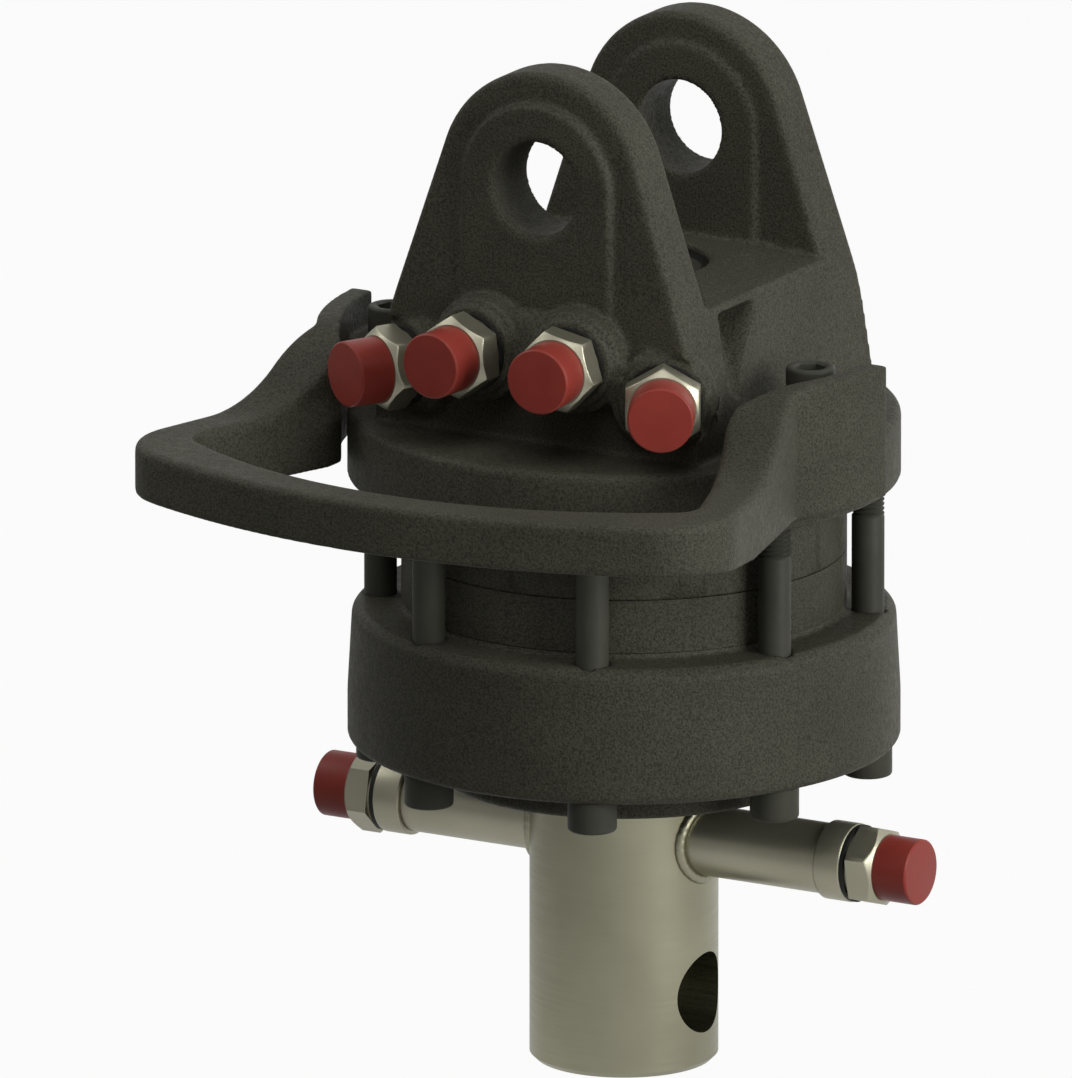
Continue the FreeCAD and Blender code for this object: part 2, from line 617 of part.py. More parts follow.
def head_housing():
    """The head's casting below its ears: the port block, the flange and the swivel's bore."""
    body = new_body("head_housing")
    head_blank(body)
    inner, outside = size("ear_gap") / 2, size("link_width")
    above, seat = size("ear_radius") + 5.0, -size("ear_seat_drop")
    ear_room = new_sketch(body, "ear_room_outline", "YZ_Plane")
    for side in (-1, 1):
        add_outline(ear_room, [(inner * side, seat), (outside * side, seat), (outside * side, above),
                               (inner * side, above)])
    pocket(body, "ear_room", ear_room, size("block_reach") * 3, symmetric=True)

    rim, edge = flange_rim, size("flange_round")
    spigot = spigot_radius
    revolve(body, "flange", [(0.0, flange_top), (rim - edge, Near(flange_top)),
                             (Near(rim), flange_top - edge),
                             (rim, flange_bottom + 1.0), (rim - 1.0, flange_bottom),
                             (spigot, flange_bottom), (spigot, stator_top), (0.0, stator_top)],
            {1: (rim - edge, flange_top - edge, edge, -1)})

    for number, entry in enumerate(port_places, start=1):
        rod(body, f"port_boss_{number}", size("port_boss_radius"), point_of(entry),
            point_of(entry, size("port_boss_depth")), cut=False)
        rod(body, f"port_block_{number}", size("port_block_radius"),
            point_of(entry, size("port_block_setback")), point_of(entry, size("port_boss_depth")),
            cut=False)
    for number, (entry, following) in enumerate(zip(port_places, port_places[1:]), start=1):
        rod(body, f"port_web_{number}", size("port_block_radius"), point_of(entry, size("port_web_depth")),
            point_of(following, size("port_web_depth")), cut=False)

    groove = size("snap_ring_width")
    groove_radius = size("cover_radius") + size("snap_ring_bite")
    revolve(body, "swivel_bore", [
        (0.0, deck + 5.0), (size("cover_radius"), deck + 5.0),
        (size("cover_radius"), cover_top + groove), (groove_radius, cover_top + groove),
        (groove_radius, cover_top), (size("cover_radius"), cover_top),
        (size("cover_radius"), cover_bottom), (swivel_bore, cover_bottom),
        (swivel_bore, upper_bush_top), (upper_bush_outer, upper_bush_top),
        (upper_bush_outer, stator_top - 1.0), (0.0, stator_top - 1.0)], cut=True)
    seal, seal_width = face_seal_radius, size("face_seal_width")
    revolve(body, "face_seal_groove", [
        (seal, stator_top - 1.0), (seal + seal_width, stator_top - 1.0),
        (seal + seal_width, stator_top + size("face_seal_depth")),
        (seal, stator_top + size("face_seal_depth"))], cut=True)

    bolt_hole = circles(body, "bolt_hole_outline", "XY_Plane",
                        [(bolt_x, bolt_y, size("bolt_radius") + size("running_clearance"))], flange_bottom)
    hole = pocket(body, "bolt_hole", bolt_hole, size("bolt_engagement") + hole_ends, backwards=True)
    polar(body, "bolt_holes", hole, size("bolt_count"))
    guard_holes = circles(body, "guard_hole_outline", "XY_Plane", [
        (guard_screw_across * side, -size("guard_screw_front"),
         size("bolt_radius") + size("running_clearance")) for side in (-1, 1)], flange_top)
    pocket(body, "guard_holes", guard_holes, size("guard_screw_engagement") + hole_ends)
    dowel_holes = circles(body, "dowel_hole_outline", "XY_Plane", [
        (dowel_circle * side, 0.0, size("dowel_radius") + size("seat_clearance"))
        for side in (-1, 1)], stator_top)
    pocket(body, "dowel_holes", dowel_holes, size("dowel_depth") + hole_ends, backwards=True)

    for number, entry in enumerate(port_places, start=1):
        rod(body, f"spot_face_{number}", size("port_boss_radius") + size("spot_face_margin"),
            point_of(entry), point_of(entry, -size("spot_face_reach")))
    for number, entry in enumerate(port_places, start=1):
        bottom = point_of(entry, size("port_depth"))
        rod(body, f"port_{number}", size("port_radius") + size("running_clearance"),
            point_of(entry, -1.0), bottom)
        if number in (1, 4):
            start = size("port_depth") - 5.0
            level = float(channel_levels[0] if number == 1 else channel_levels[1])
            target = bottom + (Vector(0, 0, level) - bottom) * 0.8
        else:
            start = size("oilway_start")
            target = Vector(bottom.x, -float(rotor_radius) - 1.0, float(stator_top) - 1.0)
        rod(body, f"oilway_{number}", size("oilway_radius"), point_of(entry, start), target)
    return body


def main_bolts():
    """Eight screws from below, through the lower housing into the head's flange."""
    body = new_body("main_bolts")
    length = flange_bottom - lower_flange_bottom + size("bolt_engagement")
    head, height = size("bolt_head_radius"), size("bolt_head_height")
    shank = size("bolt_radius")
    seat = lower_flange_bottom
    pads = []
    for name, radius, low, high in (("head", head, seat - height, seat),
                                    ("shank", shank, seat, seat + length)):
        disc = circles(body, f"{name}_outline", "XY_Plane", [(bolt_x, bolt_y, radius)], low)
        pads.append(pad(body, name, disc, high - low))
    corners = [(bolt_x + across, bolt_y + up) for across, up in hexagon(size("socket_flats"))]
    socket = outline(body, "socket_outline", "XY_Plane", corners, level=seat - height)
    pads.append(pocket(body, "socket", socket, size("socket_depth"), backwards=True))
    pattern = polar(body, "all_bolts", pads[0], size("bolt_count"))
    pattern.Originals = pads
    return body


def guard_screws():
    """Two screws that hold the guard's lugs down on the head's flange."""
    body = new_body("guard_screws")
    seat = flange_top + size("lug_thickness")
    features = []
    for name, radius, low, high in (
            ("head", size("bolt_head_radius"), seat, seat + size("bolt_head_height")),
            ("shank", size("bolt_radius"), flange_top - size("guard_screw_engagement"), seat)):
        disc = circles(body, f"{name}_outline", "XY_Plane",
                       [(guard_screw_across, -size("guard_screw_front"), radius)], low)
        features.append(pad(body, name, disc, high - low))
    corners = [(guard_screw_across + across, -size("guard_screw_front") + up)
               for across, up in hexagon(size("socket_flats"))]
    socket = outline(body, "socket_outline", "XY_Plane", corners, level=seat + size("bolt_head_height"))
    features.append(pocket(body, "socket", socket, size("socket_depth")))
    mirror(body, "both_screws", features)
    return body


def top_cover():
    """Cover over the swivel, with its seal and the ring that holds it."""
    outer = size("cover_radius") - size("seat_clearance")
    section = size("cover_seal_section")
    seal_top = cover_bottom + (size("cover_thickness") + section) / 2
    inner = outer - section
    cover = turned("top_cover", [
        (0.0, cover_bottom), (outer, cover_bottom), (outer, seal_top - section),
        (inner, seal_top - section), (inner, seal_top), (outer, seal_top), (outer, cover_top),
        (0.0, cover_top)])
    ring("top_cover_seal", inner, outer, seal_top - section, seal_top)
    groove = size("cover_radius") + size("snap_ring_bite") - size("seat_clearance")
    snap = ring("snap_ring", size("cover_radius") - 2.6, groove, cover_top,
                cover_top + size("snap_ring_width"))
    gap = outline(snap, "snap_ring_gap_outline", "XY_Plane", [
        (-4.0, 0.0), (4.0, 0.0), (4.0, groove + 1.0), (-4.0, groove + 1.0)], level=cover_top)
    pocket(snap, "snap_ring_gap", gap, size("snap_ring_width"), backwards=True)
    return cover


def stator():
    """Ring with a bore of lobes that the vanes sweep, its two seals and its dowels."""
    body = ring("stator_ring", rotor_radius + size("running_clearance"), spigot_radius,
                stator_bottom, stator_top)
    lobes = new_sketch(body, "lobe_outline", "XY_Plane", stator_bottom)
    narrowing = size("lobe_narrowing")
    add_circle(lobes, size("lobe_lift") + narrowing, 0.0, rotor_radius - narrowing)
    cut = pocket(body, "lobe", lobes, size("stator_thickness"), backwards=True)
    polar(body, "lobes", cut, size("lobe_count"))
    dowels = circles(body, "dowel_hole_outline", "XY_Plane", [
        (dowel_circle * side, 0.0, size("dowel_radius") + size("seat_clearance"))
        for side in (-1, 1)], stator_bottom)
    pocket(body, "dowel_holes", dowels, size("stator_thickness"), backwards=True)

    pins = new_body("stator_dowels")
    low = stator_bottom - size("dowel_depth")
    places = [(dowel_circle * side, 0.0, size("dowel_radius")) for side in (-1, 1)]
    discs = circles(pins, "dowel_outline", "XY_Plane", places, low)
    pad(pins, "dowels", discs, size("stator_thickness") + size("dowel_depth") * 2)

    seal, outer = face_seal_radius, face_seal_radius + size("face_seal_width")
    ring("stator_seal_upper", seal, outer, stator_top, stator_top + size("face_seal_depth"))
    ring("stator_seal_lower", seal, outer, stator_bottom - size("face_seal_depth"), stator_bottom)
    return body


def lower_housing():
    """Lower casting, with the bearing's floor, the bush's seat and the seal's seat."""
    spigot, rim, boss = spigot_radius, flange_rim, size("lower_boss_radius")
    edge, taper = size("flange_round"), size("lower_flange_taper")
    narrow = rim - taper
    plate = side_plate_radius + size("seat_clearance")
    bush = lower_bush_outer
    taper_end = lower_flange_top - size("lower_flange_taper_length")
    body = new_body("lower_housing")
    revolve(body, "casting", [
        (plate, stator_bottom), (plate, plate_bottom), (cavity_radius, plate_bottom),
        (cavity_radius, bearing_floor), (bush, bearing_floor), (bush, lower_bush_bottom),
        (seal_outer, lower_bush_bottom), (seal_outer, boss_bottom), (boss - 1.5, boss_bottom),
        (boss, boss_bottom + 1.5), (boss, lower_flange_bottom), (rim - 1.5, lower_flange_bottom),
        (rim, lower_flange_bottom + 1.5), (rim, taper_end), (narrow, lower_flange_top - edge),
        (narrow - edge, lower_flange_top), (spigot, lower_flange_top), (spigot, stator_bottom)])
    hole = circles(body, "bolt_hole_outline", "XY_Plane", [(bolt_x, bolt_y, size("bolt_hole_radius"))],
                   lower_flange_bottom - 1.0)
    cut = pocket(body, "bolt_hole", hole, size("lower_flange_thickness") + 2.0, backwards=True)
    polar(body, "bolt_holes", cut, size("bolt_count"))
    seal, outer = face_seal_radius, face_seal_radius + size("face_seal_width")
    revolve(body, "face_seal_groove", [
        (seal, stator_bottom + 1.0), (seal, stator_bottom - size("face_seal_depth")),
        (outer, stator_bottom - size("face_seal_depth")), (outer, stator_bottom + 1.0)], cut=True)
    dowels = circles(body, "dowel_hole_outline", "XY_Plane", [
        (dowel_circle * side, 0.0, size("dowel_radius") + size("seat_clearance"))
        for side in (-1, 1)], stator_bottom)
    pocket(body, "dowel_holes", dowels, size("dowel_depth") + hole_ends)
    return body


def bushes_and_seals():
    seat = size("seat_clearance")
    ring("upper_bush", swivel_bore, upper_bush_outer - seat, stator_top, upper_bush_top)
    ring("lower_bush", shaft_bore, lower_bush_outer - seat, lower_bush_bottom, bearing_floor)
    low = lower_bush_bottom - size("seal_length")
    shaft_side = shaft_bore
    turned("shaft_seal", [
        (seal_outer - seat, lower_bush_bottom), (seal_outer - seat, low), (seal_outer - 2.0, low),
        (seal_outer - 2.0, lower_bush_bottom - 2.0), (shaft_side + 3.5, lower_bush_bottom - 2.0),
        (shaft_side, low + 1.5), (shaft_side, low + 2.5), (shaft_side + 1.2, lower_bush_bottom)])
    turned("wiper_ring", [
        (seal_outer - seat, low), (seal_outer - seat, low - size("wiper_length")),
        (shaft_side + 2.5, low - size("wiper_length")), (shaft_side, low - size("wiper_length") - 1.5),
        (shaft_side, low - size("wiper_length")), (shaft_side + 1.2, low)])


def thrust_bearing():
    """Two washers with a ball track each, the balls and their cage."""
    track = ball_radius + size("running_clearance")
    for label, low, high in (("bearing_washer_upper", upper_race_bottom, collar_bottom),
                             ("bearing_washer_lower", bearing_floor, lower_race_top)):
        washer = ring(label, race_inner, race_outer, low, high)
        groove = circles(washer, f"{label}_track_outline", "XZ_Plane", [(ball_circle, ball_level, track)])
        cut = washer.newObject("PartDesign::Groove", f"{label}_track")
        cut.Profile = groove
        cut.ReferenceAxis = (groove, ["V_Axis"])
        cut.Angle = 360
        washer.Tip = cut

    half, inset = cage_thickness / 2, race_width * size("cage_inset")
    cage = ring("bearing_cage", race_inner + inset, race_outer - inset, ball_level - half,
                ball_level + half)
    window = circles(cage, "cage_window_outline", "XY_Plane", [(ball_circle, 0.0, track)],
                     ball_level - half)
    cut = pocket(cage, "cage_window", window, cage_thickness, backwards=True)
    polar(cage, "cage_windows", cut, size("ball_count"))

    balls = new_body("bearing_balls")
    ball = balls.newObject("PartDesign::AdditiveSphere", "ball")
    ball.setExpression("Radius", ball_radius.text)
    ball.setExpression("Placement.Base.x", ball_circle.text)
    ball.setExpression("Placement.Base.z", ball_level.text)
    polar(balls, "balls", ball, size("ball_count"))


def shaft():
    """Turned shaft with its oilways, keyways, side ports and the hole for the grapple's pin."""
    stub, neck, foot = size("stub_radius"), size("neck_radius"), size("shaft_radius")
    collar, edge = collar_radius, size("shaft_chamfer")
    channel, half = stub - size("channel_depth"), size("channel_width") / 2
    ring_half, ring_floor = size("ring_width") / 2, stub - size("channel_depth")
    corners = [(0.0, stub_top), (stub - 1.0, stub_top), (stub, stub_top - 1.0)]
    grooves = [(level, half, channel) for level in channel_levels]
    grooves += [(level, ring_half, ring_floor) for level in ring_levels]
    for level, reach, floor in sorted(grooves, key=lambda groove: -float(groove[0])):
        corners += [(stub, level + reach), (floor, level + reach), (floor, level - reach),
                    (stub, level - reach)]
    corners += [(stub, stator_top), (neck, stator_top), (neck, collar_top), (collar, collar_top),
                (collar, collar_bottom), (foot, collar_bottom), (foot, shaft_end + edge),
                (foot - edge, shaft_end), (0.0, shaft_end)]
    body = turned("shaft", corners)

    offset, drill = size("oilway_offset"), size("oilway_radius")
    mouths = [(offset * side, 0.0, drill) for side in (-1, 1)]
    long_ways = circles(body, "long_oilway_outline", "XY_Plane", mouths, stub_top)
    pocket(body, "long_oilways", long_ways, stub_top - tube_level + drill)
    plugs = [(offset * side, 0.0, size("plug_radius")) for side in (-1, 1)]
    plug_seats = circles(body, "plug_seat_outline", "XY_Plane", plugs, stub_top)
    pocket(body, "plug_seats", plug_seats, size("plug_length"))
    for side, level, name in ((-1, channel_levels[0], "left"), (1, channel_levels[1], "right")):
        reach = float(size("oilway_offset")) * side
        rod(body, f"channel_way_{name}", half - 0.5, (float(stub) * side, 0, float(level)),
            (reach, 0, float(level)))
        rod(body, f"tube_way_{name}", size("tube_bore_radius"), (float(foot) * side * 1.02, 0,
            float(tube_level)), (reach, 0, float(tube_level)))

    keyway = size("key_width") / 2 + size("seat_clearance")
    key_floor = neck - size("key_height") / 2
    key_top = stator_top - size("rotor_play")
    keyways = new_sketch(body, "keyway_outline", "XY_Plane", key_top)
    for side in (-1, 1):
        add_outline(keyways, [(-keyway, key_floor * side), (keyway, key_floor * side),
                              (keyway, (neck + 1.0) * side), (-keyway, (neck + 1.0) * side)])
    pocket(body, "keyways", keyways, size("key_length") + size("rotor_play"))

    pin = circles(body, "pin_bore_outline", "YZ_Plane", [(0.0, pin_level, size("pin_bore_radius"))])
    pocket(body, "pin_bore", pin, foot * 2 + 2.0, symmetric=True)

    closing = new_body("oilway_plugs")
    seats = circles(closing, "oilway_plug_outline", "XY_Plane", [
        (offset * side, 0.0, size("plug_radius") - size("seat_clearance")) for side in (-1, 1)],
        stub_top - size("plug_length"))
    pad(closing, "plugs", seats, size("plug_length"))

    rings = new_body("swivel_rings")
    for number, level in enumerate(ring_levels, start=1):
        revolve(rings, f"swivel_ring_{number}", [
            (ring_floor, level - ring_half + 0.1), (stub + 0.03, level - ring_half + 0.1),
            (stub + 0.03, level + ring_half - 0.1), (ring_floor, level + ring_half - 0.1)])
    return body


def rotor():
    """Rotor with slots for the vanes, the vanes, their springs and the rotor's keys."""
    neck, outer = size("neck_radius"), rotor_radius
    low, high = stator_bottom + size("rotor_play"), stator_top - size("rotor_play")
    body = ring("rotor", neck + size("seat_clearance"), outer, low, high)
    slot_half = size("vane_thickness") / 2 + size("vane_play")
    slot_floor = neck + size("vane_slot_wall")
    slot = outline(body, "vane_slot_outline", "XY_Plane", [
        (slot_floor, -slot_half), (outer + 1.0, -slot_half), (outer + 1.0, slot_half),
        (slot_floor, slot_half)], level=low)
    cut = pocket(body, "vane_slot", slot, high - low, backwards=True)
    polar(body, "vane_slots", cut, size("vane_count"))
    key_half = size("key_width") / 2 + size("seat_clearance")
    key_top = neck + size("key_height") / 2 + size("seat_clearance")
    keyways = new_sketch(body, "keyway_outline", "XY_Plane", low)
    for side in (-1, 1):
        add_outline(keyways, [(-key_half, (neck - 1.0) * side), (key_half, (neck - 1.0) * side),
                              (key_half, key_top * side), (-key_half, key_top * side)])
    pocket(body, "keyways", keyways, high - low, backwards=True)

    vanes = new_body("vanes")
    vane_half = size("vane_thickness") / 2
    vane_foot = slot_floor + size("vane_spring_height")
    vane = outline(vanes, "vane_outline", "XY_Plane", [
        (vane_foot, -vane_half), (outer - 0.8, -vane_half), (outer, 0.0), (outer - 0.8, vane_half),
        (vane_foot, vane_half)], level=low)
    polar(vanes, "all_vanes", pad(vanes, "vane", vane, high - low), size("vane_count"))

    springs = new_body("vane_springs")
    strip, rise = size("spring_thickness"), size("vane_spring_height")
    reach = size("stator_thickness") / 2 - 1.5
    centre = (low + high) / 2
    leaf = outline(springs, "leaf_outline", "XZ_Plane", [
        (slot_floor, centre - reach), (slot_floor + strip, centre - reach),
        (vane_foot, centre - 1.0), (vane_foot, centre + 1.0), (slot_floor + strip, centre + reach),
        (slot_floor, centre + reach), (vane_foot - strip, centre + 1.0),
        (vane_foot - strip, centre - 1.0)])
    one = pad(springs, "leaf", leaf, size("vane_thickness") - 0.4, symmetric=True)
    polar(springs, "leaves", one, size("vane_count"))

    keys = new_body("rotor_keys")
    key_sketch = new_sketch(keys, "key_outline", "XY_Plane", high - size("key_length"))
    width, half = size("key_width") / 2, size("key_height") / 2
    for side in (-1, 1):
        add_outline(key_sketch, [(-width, (neck - half) * side), (width, (neck - half) * side),
                                 (width, (neck + half) * side), (-width, (neck + half) * side)])
    pad(keys, "keys", key_sketch, size("key_length"))

    plate = ring("side_plate", neck + 1.0, side_plate_radius, plate_bottom, stator_bottom)
    return body, plate


def fitting(adapter_label, seal_label, cap_label, where, angle, socket_depth):
    """Adapter, its bonded seal and its dust cap, along +X of their own frame from the port's face."""
    washer = size("seal_washer_thickness")
    washer_end = washer + size("fitting_hex_length")
    nose, bore = size("port_radius"), size("fitting_bore_radius")
    nipple, tip = size("nipple_radius"), washer_end + size("nipple_length")
    adapter = new_body(adapter_label)
    nose_end = -socket_depth + 3.0
    revolve(adapter, f"{adapter_label}_stem", [
        (nose_end, bore), (nose_end, nose - 1.0), (nose_end + 1.0, nose), (washer, nose),
        (washer, nose + 3.2), (washer + 1.2, nose + 3.2), (washer_end, nose + 3.2),
        (washer_end, nipple), (tip - 1.0, nipple), (tip, nipple - 1.0), (tip, bore)], axis="H_Axis")
    flats = outline(adapter, f"{adapter_label}_hexagon", "YZ_Plane", hexagon(size("fitting_hex")),
                    level=washer + 1.2)
    pad(adapter, f"{adapter_label}_nut", flats, size("fitting_hex_length") - 1.2)
    corner = size("fitting_hex") / 2 * 1.1547
    crown = corner - size("fitting_hex") / 2
    revolve(adapter, f"{adapter_label}_crown", [
        (washer_end - crown * 0.6, corner + 0.2), (washer_end + 0.1, corner - crown),
        (washer_end + 0.1, corner + 0.2)], cut=True, axis="H_Axis")
    revolve(adapter, f"{adapter_label}_bore", [
        (nose_end - 1.0, 0.0), (nose_end - 1.0, bore), (tip + 1.0, bore), (tip + 1.0, 0.0)],
        cut=True, axis="H_Axis")

    seal = turned(seal_label, [(0.0, nose + 0.1), (washer, nose + 0.1),
                               (washer, size("seal_washer_radius")), (0.0, size("seal_washer_radius"))],
                  axis="H_Axis")
    outer, length, wall = size("cap_radius"), size("cap_length"), size("cap_end")
    inside = nipple + size("running_clearance")
    cap = turned(cap_label, [
        (washer_end, inside), (washer_end, outer), (washer_end + length - 0.6, outer),
        (washer_end + length, outer - 0.6), (washer_end + length, 0.0),
        (washer_end + length - wall, 0.0), (washer_end + length - wall, inside)], axis="H_Axis")
    for piece in (adapter, seal, cap):
        place(piece, *where, angle)


def ports():
    for number, entry in enumerate(port_places, start=1):
        fitting(f"port_adapter_{number}", f"port_seal_{number}", f"port_cap_{number}",
                entry[:3], entry[3] - 90.0, size("port_depth"))


def side_tubes():
    """The two tubes welded to the shaft, each with a boss, a fitting and a cap."""
    wall, bore, reach = size("tube_radius"), size("tube_bore_radius"), size("tube_reach")
    weld, foot = size("weld_radius"), size("shaft_radius")
    end = reach + size("end_boss_length")
    socket = size("port_radius") + size("seat_clearance")
    for side, name in ((1, "right"), (-1, "left")):
        angle = 0.0 if side > 0 else 180.0
        tube = turned(f"tube_{name}", [
            (foot - 9.0, bore), (reach, bore), (reach, wall), (foot + size("weld_length"), wall),
            (foot + size("weld_length") - 2.0, weld), (foot - 9.0, weld)], axis="H_Axis")
        saddle = circles(tube, f"tube_{name}_saddle_outline", "XY_Plane", [(0.0, 0.0, foot)])
        pocket(tube, f"tube_{name}_saddle", saddle, weld * 2 + 2.0, symmetric=True)
        boss = turned(f"tube_boss_{name}", [
            (reach, bore), (reach, size("end_boss_radius") - 1.0),
            (reach + 1.0, size("end_boss_radius")), (end, size("end_boss_radius")), (end, socket),
            (reach + 2.5, socket), (reach + 2.5, bore)], axis="H_Axis")
        for piece in (tube, boss):
            place(piece, 0.0, 0.0, tube_level, angle)
        fitting(f"tube_adapter_{name}", f"tube_seal_{name}", f"tube_cap_{name}",
                (end * side, 0.0, tube_level), angle, size("end_boss_length"))


def guard():
    """Loop of cast iron round the ports: a curved bar, two arms and a wall round the flange."""
    body = new_body("guard")
    wall_in = flange_rim + size("guard_play")
    wall_out = wall_in + size("guard_wall")
    rear, turn_in = -size("guard_rear_gap"), -size("guard_wall_front")
    front, back = size("guard_front_radius"), size("guard_inner_radius")
    front_centre = front - size("guard_bar_reach")
    back_centre = back - size("guard_bar_reach") + size("guard_bar_depth")

    def on_circle(radius, value):
        """Other coordinate of a point on a circle about the axis."""
        radius, value = as_size(radius), as_size(value)
        return Size(math.sqrt(float(radius) ** 2 - float(value) ** 2),
                    f"sqrt({radius.text} ^ 2 - {value.text} ^ 2)")

    corner, inner = size("guard_corner_across"), size("guard_inner_corner_across")
    corner_front = float(front_centre) - float(on_circle(front, corner))
    inner_front = float(back_centre) - float(on_circle(back, inner))
    knee = flange_rim - size("guard_knee_setback")
    knee_rear = -on_circle(wall_in, knee)
    right = [(Near(on_circle(wall_out, rear)), rear), (Near(on_circle(wall_out, turn_in)), turn_in),
             (corner, Near(corner_front))]
    left = [(-across, up) for across, up in reversed(right)]
    left_inside = [(Near(-on_circle(wall_in, rear)), rear), (-knee, Near(knee_rear)),
                   (-knee, knee_rear - size("guard_knee_length")), (-inner, Near(inner_front))]
    right_inside = [(-across, up) for across, up in reversed(left_inside)]
    plan = outline(body, "guard_plan", "XY_Plane", right + left + left_inside + right_inside, {
        0: (0.0, 0.0, wall_out, -1), 2: (0.0, front_centre, front, -1),
        4: (0.0, 0.0, wall_out, -1), 6: (0.0, 0.0, wall_in, 1),
        9: (0.0, back_centre, back, 1), 12: (0.0, 0.0, wall_in, 1)}, level=-size("guard_bottom_drop"))
    pad(body, "loop", plan, size("guard_bottom_drop") - size("guard_top_drop"))

    rounded(body, "outer_corners", size("guard_corner_round"), corner, corner_front)
    rounded(body, "inner_corners", size("guard_inner_round"), inner, inner_front)

    start, finish = -size("guard_slope_start"), -size("guard_slope_end")
    top, low = -size("guard_top_drop"), -size("guard_bar_top_drop")
    run, fall = float(start) - float(finish), float(top) - float(low)
    bend = (run * run + fall * fall) / (4 * fall)
    half_way = (Near((float(start) + float(finish)) / 2), Near((float(top) + float(low)) / 2))
    beyond = -size("guard_bar_reach") - 20.0
    slope = new_sketch(body, "guard_slope", "YZ_Plane")
    add_outline(slope, [(start, Near(top)), half_way, (finish, Near(low)), (beyond, low),
                        (beyond, top + 1.0), (start, top + 1.0)],
                {0: (start, top - bend, bend, 1), 1: (finish, Near(low + bend), bend, -1)}, (1,))
    pocket(body, "slope", slope, corner * 2 + 20.0, symmetric=True)
    foot = -size("guard_bottom_drop")
    bar_foot = -size("guard_bar_bottom_drop")
    underside = outline(body, "guard_underside", "YZ_Plane", [
        (beyond, foot - 1.0), (finish, foot - 1.0), (finish, foot), (-size("guard_bar_reach") + 35.0,
        bar_foot), (beyond, bar_foot)])
    pocket(body, "underside", underside, corner * 2 + 20.0, symmetric=True)
    dress(body, "Fillet", "bar_rounds", size("guard_edge_round"),
          lambda edge: abs(middle(edge).x) < 1.0 and abs(middle(edge).z - float(low)) < 0.01)

    lug, across = size("lug_radius"), guard_screw_across
    screw_front = -size("guard_screw_front")
    lugs = new_sketch(body, "lug_outline", "XY_Plane", flange_top)
    root = wall_in + size("guard_wall") / 4
    add_outline(lugs, [(root, screw_front - lug), (root, screw_front + lug),
                       (across, Near(float(screw_front + lug))),
                       (across, Near(float(screw_front - lug)))],
                {2: (across, screw_front, lug, 1)})
    lug_pad = pad(body, "lug", lugs, size("lug_thickness"))
    mirror(body, "lugs", [lug_pad])
    holes = circles(body, "lug_hole_outline", "XY_Plane", [
        (across * side, screw_front, size("bolt_hole_radius")) for side in (-1, 1)], flange_top)
    pocket(body, "lug_holes", holes, size("lug_thickness"), backwards=True)
    return body


def rounded(body, name, radius, across, front):
    """Fillet on the upright edges at (+-across, front)."""
    dress(body, "Fillet", name, radius,
          lambda edge: abs(abs(middle(edge).x) - float(across)) < 0.01
          and abs(middle(edge).y - float(front)) < 0.01)


def main():
    """Build every piece in the order in which they are put together."""
    head_housing()
    ears()
    top_cover()
    stator()
    lower_housing()
    main_bolts()
    bushes_and_seals()
    thrust_bearing()
    shaft()
    rotor()
    ports()
    side_tubes()
    guard()
    guard_screws()


main()
doc.recompute()

failed = [item.Name for item in doc.Objects
          if any(state in ("Invalid", "Error") for state in item.State)]
if failed:
    raise SystemExit(f"failed: {failed}")
os.makedirs("parts", exist_ok=True)
for body in doc.findObjects("PartDesign::Body"):
    if body.Shape.isNull() or not body.Shape.isValid():
        raise SystemExit(f"{body.Label} has no valid shape")
    body.Shape.exportStep(f"parts/{body.Label}.step")
    print(body.Label, len(body.Shape.Solids), round(body.Shape.Volume, 1))
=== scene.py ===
import json
import math

import bmesh
import bpy
import numpy as np
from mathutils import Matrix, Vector


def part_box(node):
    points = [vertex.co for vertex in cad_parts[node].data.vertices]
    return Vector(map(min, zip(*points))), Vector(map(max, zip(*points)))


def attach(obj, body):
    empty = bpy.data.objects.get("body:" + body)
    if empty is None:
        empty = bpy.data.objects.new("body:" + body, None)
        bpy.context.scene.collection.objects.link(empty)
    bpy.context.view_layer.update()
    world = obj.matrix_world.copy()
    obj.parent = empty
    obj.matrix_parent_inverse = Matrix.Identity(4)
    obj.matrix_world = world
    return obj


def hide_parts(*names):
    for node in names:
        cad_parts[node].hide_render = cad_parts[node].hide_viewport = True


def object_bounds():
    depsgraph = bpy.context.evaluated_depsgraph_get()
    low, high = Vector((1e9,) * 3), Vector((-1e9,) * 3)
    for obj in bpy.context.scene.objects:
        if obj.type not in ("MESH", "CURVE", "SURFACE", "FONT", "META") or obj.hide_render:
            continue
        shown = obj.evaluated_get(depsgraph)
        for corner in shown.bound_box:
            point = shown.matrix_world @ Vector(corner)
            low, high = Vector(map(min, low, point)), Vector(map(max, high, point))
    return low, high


# Hydraulic rotator on a pale floor, seen from 30 degrees to the right of its front and 15 above.
# Metres. +Z is up, the ports and the guard's bar are at -Y, the link pin lies along Y and the side
# tubes along X. Profiles of turned pieces are given in millimetres, as their drawings would be.

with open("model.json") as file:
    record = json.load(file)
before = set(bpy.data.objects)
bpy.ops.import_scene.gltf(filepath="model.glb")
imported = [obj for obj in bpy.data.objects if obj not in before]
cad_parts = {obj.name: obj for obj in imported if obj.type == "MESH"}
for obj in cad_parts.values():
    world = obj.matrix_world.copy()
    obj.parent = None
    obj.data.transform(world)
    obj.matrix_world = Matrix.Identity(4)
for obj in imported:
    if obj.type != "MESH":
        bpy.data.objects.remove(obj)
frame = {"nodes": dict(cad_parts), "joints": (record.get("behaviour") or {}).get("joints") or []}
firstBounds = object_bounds()
print("frame loaded:", len(frame["nodes"]), "nodes")

mm = 0.001
upright = Vector((0, 0, 1))


# Colours and shader nodes

